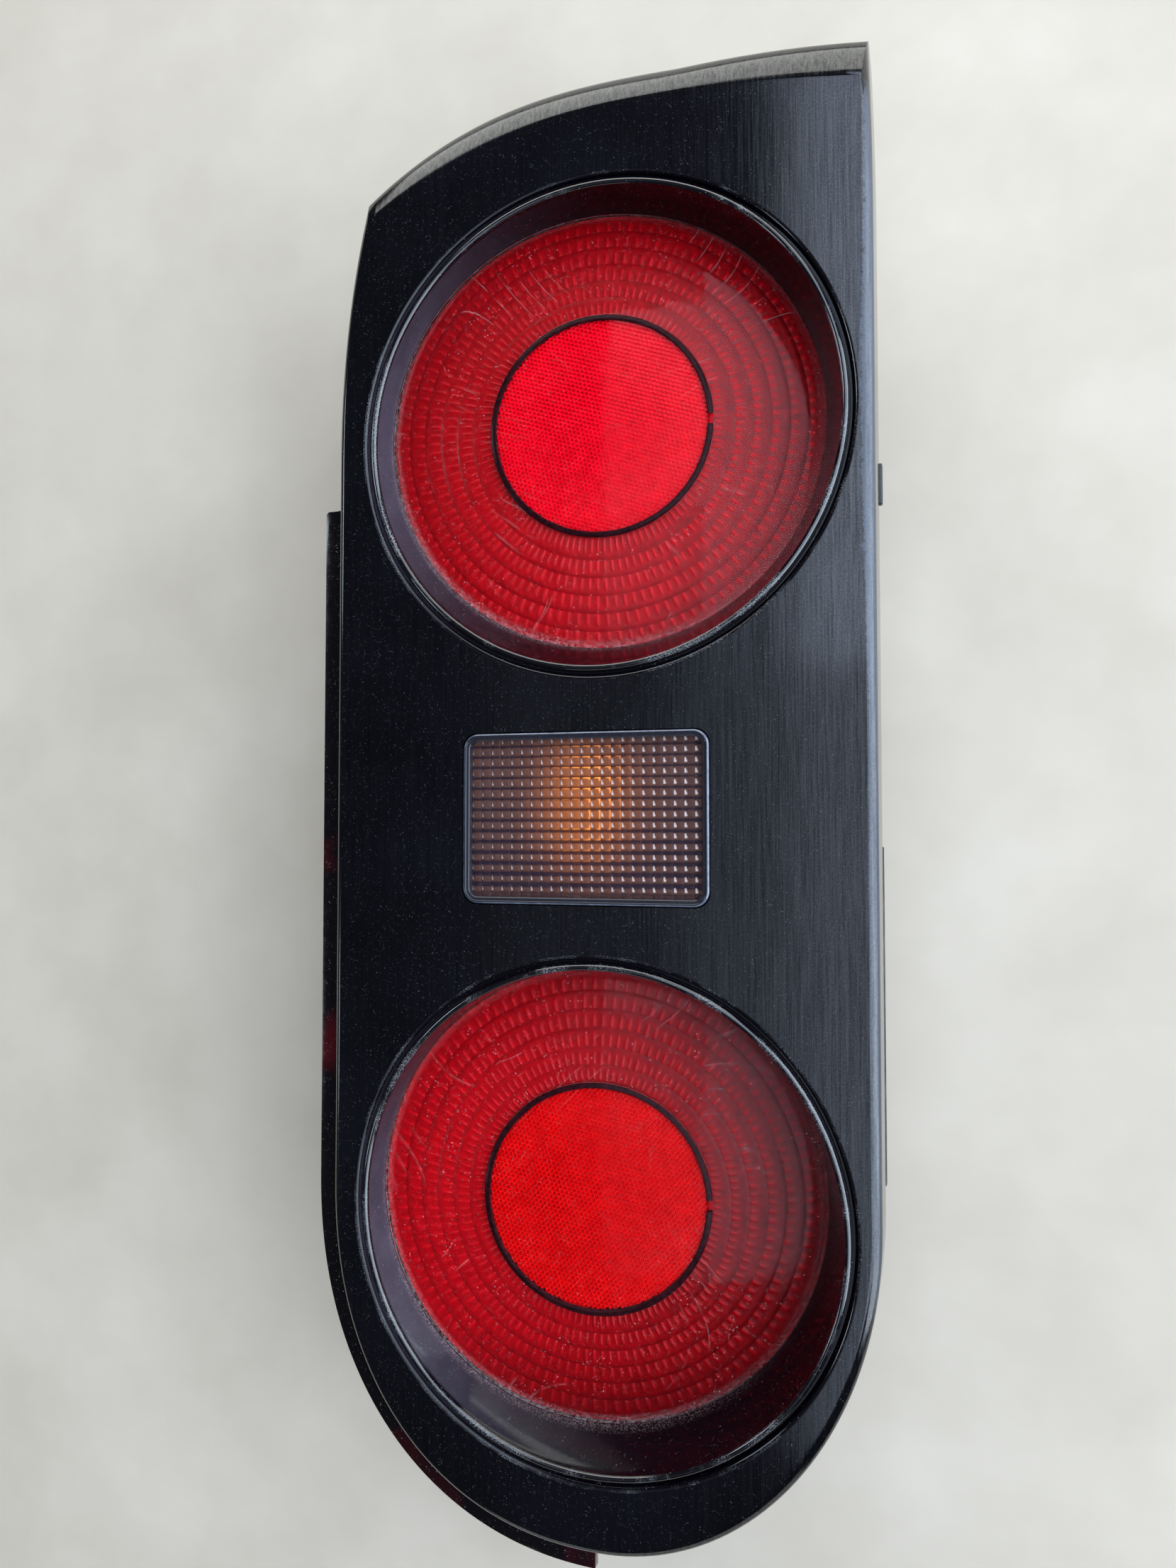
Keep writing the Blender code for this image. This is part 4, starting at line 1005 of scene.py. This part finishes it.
def window_pillows(material):
    """Field of small pillows; stored values say where each cell has painted shade, a painted highlight
    on its shoulder, a painted glint, or the painted amber glow.
    """
    width, height = (side - 2 * WINDOW_BORDER for side in WINDOW_SIZE)
    fine, part_row = 12, 0.64
    count_x, count_y = width / PILLOW_X, height / PILLOW_Y
    grid_x, grid_y = np.meshgrid(np.linspace(0, count_x, round(count_x * fine) + 1),
                                 np.linspace(0, count_y, round(count_y * fine) + 1))
    cell_x, cell_y = (grid_x + 1e-6) % 1.0, (grid_y + part_row + 1e-6) % 1.0
    x = WINDOW_CENTRE[0] - width / 2 + grid_x * PILLOW_X
    y = WINDOW_CENTRE[1] - height / 2 + grid_y * PILLOW_Y
    side, rise = 2 * cell_x - 1, 2 * cell_y - 1
    bulge = (1 - np.abs(side) ** 3) * (1 - np.abs(rise) ** 3)
    across, up = grid_x / count_x, grid_y / count_y
    # painted shade: each cell has a dark step band over it that grows towards the foot, and dark gaps
    # between cells that fade to the right
    step = 0.10 + 0.34 * unit(1.0 - up / 0.75) ** 1.3
    shade = unit((1.0 - step - cell_y) / 0.08) * unit((cell_y - 0.02) / 0.10)
    gap = unit((1.0 - np.abs(side)) / 0.22)
    shade *= gap + (1.0 - gap) * unit(0.25 + 0.75 * across)
    # painted glint: a pale upright wedge near the left side of each cell, thinner towards the left
    slant = np.clip(0.13 + 0.17 * across ** 0.6 + 0.45 * (0.30 - cell_y), 0.05, 1.0)
    painted_glint = unit((cell_x - 0.02) / 0.05) * unit((slant + 0.05 - cell_x) / 0.05)
    painted_glint *= unit((cell_y - 0.22) / 0.05) * unit((0.72 - cell_y) / 0.08)
    whole = grid_y + part_row > 1.0
    painted_glint *= (0.55 + 0.45 * across ** 0.5) * whole
    shade = np.where(whole, shade, 0.45)
    # painted highlight: the shoulder of each cell that faces away from the bulb is painted bright
    # amber, in place of the bulb's light caught there
    away_x, away_y = np.maximum(x - BULB_AT[0], 0.0), y - BULB_AT[1]
    reach = np.hypot(away_x, away_y) + 0.5
    edge = (np.abs(side) ** 4 + np.abs(rise) ** 4) ** 0.25
    facing = (side * away_x + rise * away_y) / (reach * np.hypot(side, rise).clip(0.1))
    lip = unit((edge - 0.66) / 0.14) * unit((facing - 0.60) / 0.3)
    lip *= unit((1.0 - step - cell_y) / 0.05 + 1.0) * whole
    lip *= falloff(x - LIPS_AT[0], 9.5, 9.0) * falloff(y - LIPS_AT[1], 18.0, 12.0)
    # painted glow: amber light painted round the bulb, in place of its light through the optics
    painted_glow = falloff(x - BULB_AT[0], 12.0, 15.0) * falloff(y - BULB_AT[1], 14.0, 20.0)
    rows, columns = x.shape
    index = np.arange(rows * columns).reshape(rows, columns)
    quads = np.stack([index[:-1, :-1], index[:-1, 1:], index[1:, 1:], index[1:, :-1]], axis=-1)
    points = np.stack([x, y, PILLOW_Z + 0.3 * bulge], axis=-1)
    mesh = bpy.data.meshes.new("window_pillows")
    mesh.from_pydata(points.reshape(-1, 3).tolist(), [], quads.reshape(-1, 4).tolist())
    for name, values in (("shade", shade), ("painted_glint", painted_glint), ("lip", lip), ("painted_glow", painted_glow)):
        paint(mesh, values.reshape(-1), name)
    put("window_pillows", closed_below(mesh, 0.3), material, smooth=45.0)


def window_skin(material):
    mesh = plate("window_skin", [window_outline(WINDOW_BORDER + 0.03, 0.8)], 0.06, 0.4)
    paint(mesh, np.zeros(len(mesh.vertices)), "edge")
    piece = put("window_skin", mesh, material)
    piece.visible_shadow = False


# ---------------------------------------------------------------- housing and rear parts

def housing(material):
    """Shell with rounded shoulders, bosses with seats, ribs, a ledge and a clip tab."""
    outer = outline(OUTER, 4)
    back, rim_z = HOUSING_BACK, HOUSING_RIM
    stations = [(18.6, back), (16.0, back), (14.0, back + 0.55), (12.3, back + 1.9), (11.1, back + 3.6),
                (10.3, back + 6.0), (4.6, rim_z - 6.5), (3.9, rim_z - 4.9), (2.6, rim_z - 3.9),
                (0.8, rim_z - 3.5), (GAP, rim_z - 3.0), (GAP, rim_z), (6.6, rim_z), (7.4, rim_z - 5.0),
                (13.2, back + 5.5), (18.0, back + WALL)]
    shell = grid_solid("housing", [raised(inset(outer, d), z) for d, z in stations], False)
    holes = []
    for label, port in PORTS.items():
        hole = turned("port", [(0.001, 8), (PORT_R, 8), (PORT_R, -8), (0.001, -8)], 64, False)
        holes.append(moved(hole, *port, back))
        for number in range(3):
            notch = block((PORT_R - 4, -3.5, -8), (17.4, 3.5, 8))
            notch = moved(notch, turn=120 * number - 45)
            holes.append(moved(notch, *port, back))
    put("housing_shell", cut(shell, holes), material, "rear_housing")
    for label, (x, y) in STUDS.items():
        profile = [(0.001, back - BOSS_H)] + arc((BOSS_R - 0.8, back - BOSS_H + 0.8), 0.8, -90, 0, 5)
        profile += [(BOSS_R + 0.2, back - 0.8), (BOSS_R + 1.2, back + 0.4), (0.001, back + 0.4)]
        boss = turned("boss", profile, 48, False)
        put(f"{label}_boss", moved(boss, x, y), material)
        half, seat_y = SEAT_SIZE / 2, y - math.copysign(SEAT_STEP, y)
        seat = bevelled(block((-half, -half, back - BOSS_H), (half, half, back + 0.4)), 0.7)
        put(f"{label}_seat", moved(seat, x, seat_y), material)
    for number, x in enumerate((-34.0, 26.0), 1):
        rib = bevelled(block((x - 0.9, -128.0, back - 3.0), (x + 0.9, 136.0, back + 0.4)), 0.5)
        put(f"housing_rib_{number}", rib, material)
    right = OUTER["right"]
    for name, (foot, head), reach, drop, width in (("side_land", LAND_Y, right + 0.2, 3.3, 0.4),
                                                   ("side_tab", TAB_Y, SIDE_TAB_X, 2.9, 0.5)):
        ledge = block((right - 4, foot, rim_z - drop), (reach, head, rim_z - 0.3))
        put(name, bevelled(ledge, width), material)


def seals(rubber_material, foam_material):
    """Seal between cover and housing, and the foam pad against the body panel."""
    outer = outline(OUTER, 4)
    strip = [inset(outer, 0.7), inset(outer, 3.0)]
    mesh = plate("perimeter", strip, SKIRT_BOTTOM - GAP, SKIRT_BOTTOM - HOUSING_RIM - 2 * GAP)
    put("perimeter_strip", bevelled(mesh, 0.3, 2, 50), rubber_material, "perimeter_seal")
    pad = [inset(outer, 17.5), inset(outer, 23.5)]
    mesh = plate("pad", pad, HOUSING_BACK - 0.05, BOSS_H - 0.25)
    put("foam_pad", bevelled(mesh, 0.9, 3, 50), foam_material, "body_gasket")


def threaded_stud(label, x, y, material):
    """Stud with a round flange, a plain neck and a rolled thread."""
    top, pitch, sides = HOUSING_BACK - BOSS_H - GAP, 1.0, 24
    neck_end, tip = top - 4.0, STUD_TIP
    rows = [(5.0, top), (5.2, top - 0.2), (5.2, top - 1.4), (5.0, top - 1.6), (STUD_R, top - 1.6),
            (STUD_R, neck_end)]
    rows = list(turned_rows(rows, sides))
    angles = around(sides)
    for z in np.arange(neck_end - 0.2, tip + 0.9, -0.2):
        turn = (z / pitch + angles / (2 * math.pi)) % 1.0
        radius = STUD_R - 0.6 * np.abs(2 * turn - 1) ** 1.2 * min(1.0, (neck_end - z) / 0.6)
        x_row, y_row = radius * np.cos(angles), radius * np.sin(angles)
        rows.append(np.column_stack([x_row, y_row, np.full(sides, z)]))
    rows += list(turned_rows([(STUD_R - 0.6, tip + 0.7), (STUD_R - 1.1, tip)], sides))
    mesh = grid_solid("stud", rows, wrap_rows=False)
    put(f"{label}_threaded_stud", moved(mesh, x, y), material, f"{label}_stud", smooth=50.0)


def holder(label, port, plastic, rubber_material):
    """Twist-lock holder with a gripped collar, lugs and a shrouded connector socket."""
    body = f"{label}_holder"
    x, y = port
    sides = 144
    angles = around(sides)
    profile = [(8.0, 4.4), (13.6, 4.4), (14.0, 4.0), (14.0, -2.4), (18.5, -2.4), (19.0, -2.8),
               (19.0, -5.0), (18.6, -5.4), (13.0, -5.4), (12.6, -5.8), (12.6, -14.4), (12.0, -15.0),
               (4.0, -15.0), (4.0, -11.5), (8.0, -11.5)]
    rows = turned_rows(profile, sides)
    grip = 1 - 0.045 * (np.cos(angles * 18) > 0.2)
    for number, (radius, _) in enumerate(profile):
        if radius > 18.0:
            rows[number, :, :2] *= grip[:, None]

    def add(name, mesh, replaces=None, smooth=32.0):
        mesh = moved(mesh, x, y, HOUSING_BACK)
        put(f"{label}_{name}", mesh, plastic, replaces, body, smooth)

    add("holder_body", grid_solid("holder", rows), f"{label}_bulb_holder", 40.0)
    for number in range(3):
        lug = bevelled(block((10.0, -3.0, 2.9), (16.8, 3.0, 4.3)), 0.3, 2)
        add(f"lug_{number + 1}", moved(lug, turn=120 * number))
    stations = [((22.0, 15.0), -14.0), ((22.0, 15.0), -24.6), ((21.2, 14.2), -25.0),
                ((18.0, 11.0), -25.0), ((17.4, 10.4), -24.6), ((17.4, 10.4), -15.2)]
    rows = [raised(rounded_rectangle((0, 0), size, 1.6, 5), z) for size, z in stations]
    add("shroud", grid_solid("shroud", rows, wrap_rows=False))
    add("latch", bevelled(block((-3.0, 7.0, -23.5), (3.0, 9.3, -18.0)), 0.4))
    ring = [(14.4, -0.4)] + arc((16.3, -1.2), 0.95, 150, 30, 5)
    ring += [(18.1, -0.5), (18.1, -2.0), (14.4, -2.0)]
    put(f"{label}_seal_ring", moved(turned("ring", ring, 64), x, y, HOUSING_BACK), rubber_material,
        f"{label}_holder_gasket", body)


def keep_cad_parts(materials):
    """CAD nodes whose plain shape is right keep it and take a finished material."""
    for label in LABELS:
        for part in ("contact_a", "contact_b", "bulb_cap"):
            dress(f"{label}_{part}", materials["brass"])
        dress(f"{label}_filament", materials["tungsten"])
        dress(f"{label}_bulb_glass", materials["amber" if label == "indicator" else "clear"])
        dress(f"{label}_bowl", materials["metallised"])


def dress(node, material):
    """Give every material slot of a CAD node one finished material."""
    for slot in NODES[node].material_slots:
        slot.material = material


# ---------------------------------------------------------------- camera, light and floor

def camera():
    """Camera above the lamp, a little to its straight side."""
    data = bpy.data.cameras.new("camera")
    data.lens = 27.05
    data.clip_start = 0.01
    eye = Vector((0.1021, -0.0055, 0.4146))
    target = Vector((0.0037, 0.0075, 0.0900))
    ahead = (target - eye).normalized()
    right = ahead.cross(Vector((0, 1, 0))).normalized()
    up = right.cross(ahead)
    turn = Matrix((right, up, -ahead)).transposed()
    eye_object = bpy.data.objects.new("camera", data)
    eye_object.matrix_world = Matrix.Translation(eye) @ turn.to_4x4()
    bpy.context.scene.collection.objects.link(eye_object)
    bpy.context.scene.camera = eye_object


def softbox(name, middle, aim, size, brightness, colour):
    """Rectangle of even brightness, in the units that a white floor in full light shows."""
    data = bpy.data.lights.new(name, "AREA")
    data.shape = "RECTANGLE"
    data.size, data.size_y = size
    data.energy = brightness * math.pi * size[0] * size[1]
    data.color = colour
    lamp = bpy.data.objects.new(name, data)
    lamp.location = middle
    lamp.rotation_euler = (Vector(aim) - Vector(middle)).to_track_quat("-Z", "Y").to_euler()
    bpy.context.scene.collection.objects.link(lamp)


def studio():
    """Broad light overhead on the straight side, dark overhead to the left, soft walls of light."""
    sky, cool, mild = (0.68, 0.80, 1.0), (0.76, 0.87, 1.0), (0.98, 1.0, 0.96)
    ceiling = 1.6
    for name, x, y, size, brightness in (("overhead_far", -0.46, -0.05, (0.32, 1.5), 0.15),
                                         ("overhead_near", -0.21, -0.05, (0.18, 1.6), 0.65),
                                         ("overhead", 0.115, -0.35, (0.47, 1.2), 1.45),
                                         ("overhead_head", 0.115, 0.8, (0.47, 1.1), 3.0),
                                         ("overhead_right", 0.85, 0.35, (1.0, 2.7), 3.6)):
        softbox(name, (x, y, ceiling), (x, y, 0.0), size, brightness, sky)
    softbox("right_wall", (2.0, 0.0, 1.0), (0.0, 0.0, 0.1), (3.2, 1.9), 5.2, cool)
    softbox("top_wall", (0.0, 2.0, 0.75), (0.0, 0.0, 0.1), (2.8, 1.3), 3.1, mild)
    softbox("left_window_1", (-1.7, 0.62, 1.0), (0.0, 0.1, 0.1), (0.45, 0.5), 8.0, cool)
    softbox("left_window_2", (-1.7, -0.35, 1.0), (0.0, 0.0, 0.1), (0.3, 0.5), 6.0, cool)
    softbox("foot_wall", (0.0, -2.4, 0.5), (0.0, 0.0, 0.05), (2.4, 0.8), 0.8, mild)
    world = bpy.data.worlds.new("studio")
    world.use_nodes = True
    world.node_tree.nodes["Background"].inputs["Color"].default_value = (0.85, 0.90, 1.0, 1.0)
    world.node_tree.nodes["Background"].inputs["Strength"].default_value = 0.05
    bpy.context.scene.world = world
    bpy.context.scene.view_settings.view_transform = "Standard"


def floor():
    """Plain pale ground under the lamp."""
    build = bmesh.new()
    bmesh.ops.create_grid(build, x_segments=8, y_segments=8, size=3.0)
    mesh = bpy.data.meshes.new("floor")
    build.to_mesh(mesh)
    build.free()
    ground = bpy.data.objects.new("floor", mesh)
    mesh.materials.append(pale_floor())
    bpy.context.scene.collection.objects.link(ground)


# ---------------------------------------------------------------- assembly

camera()
studio()
floor()

black, rim_black = smoked_gloss(), rim_gloss()
clear_skins = {"upper": clear_skin("upper_lens_skin", 1.14, 0.5, 0.08),
               "lower": clear_skin("lower_lens_skin", 1.11, 0.5, 0.08)}
reflex_clear = clear_skin("reflex_skin", 1.09, 0.12, 0.012)
plastic, rubber_black, foam_grey = holder_plastic(), rubber(), foam()
cover_shell(black)
flange_strip(smoked_flange())
# after each name: the lens's middle height, then the painted light factors left, right, foot, head and
# rim
reds = {"upper": red_optics("red_optics_upper", 112.0, 0.52, 0.86, 1.15, 0.85, 1.0),
        "lower": red_optics("red_optics_lower", -117.0, 0.78, 0.42, 0.92, 0.95, 0.45)}
# the numbers are each disc's overall brightness and the blue in its red
prisms = {"upper": reflex_red("reflex_red_upper", 0.74, 0.016),
          "lower": reflex_red("reflex_red_lower", 0.60, 0.001)}
ring_dark = bezel_dark()
for label, mouth in MOUTHS.items():
    rim(label, mouth, rim_black)
    lens_optics(label, mouth, reds[label])
    reflex_prisms(label, mouth, prisms[label], 12.0 if label == "upper" else 18.0, label == "upper")
    bezel(label, mouth, ring_dark)
    skin(label, "lens_skin", mouth, (BEZEL_R[1] + 0.05, LENS_R - 0.05), clear_skins[label])
    skin(label, "reflex_skin", mouth, (0.0, BEZEL_R[0] - 0.05), reflex_clear)
window_frame(window_border())
window_pillows(window_cells())
window_skin(reflex_clear)
housing(moulded_black())
seals(rubber_black, foam_grey)
plated = zinc()
for label, (x, y) in STUDS.items():
    threaded_stud(label, x, y, plated)
for label in LABELS:
    holder(label, PORTS[label], plastic, rubber_black)
keep_cad_parts({"brass": brass(), "tungsten": tungsten(), "metallised": metallised(),
                "amber": bulb_glass("amber_bulb", (0.95, 0.42, 0.05)),
                "clear": bulb_glass("clear_bulb", (0.97, 0.98, 1.0))})
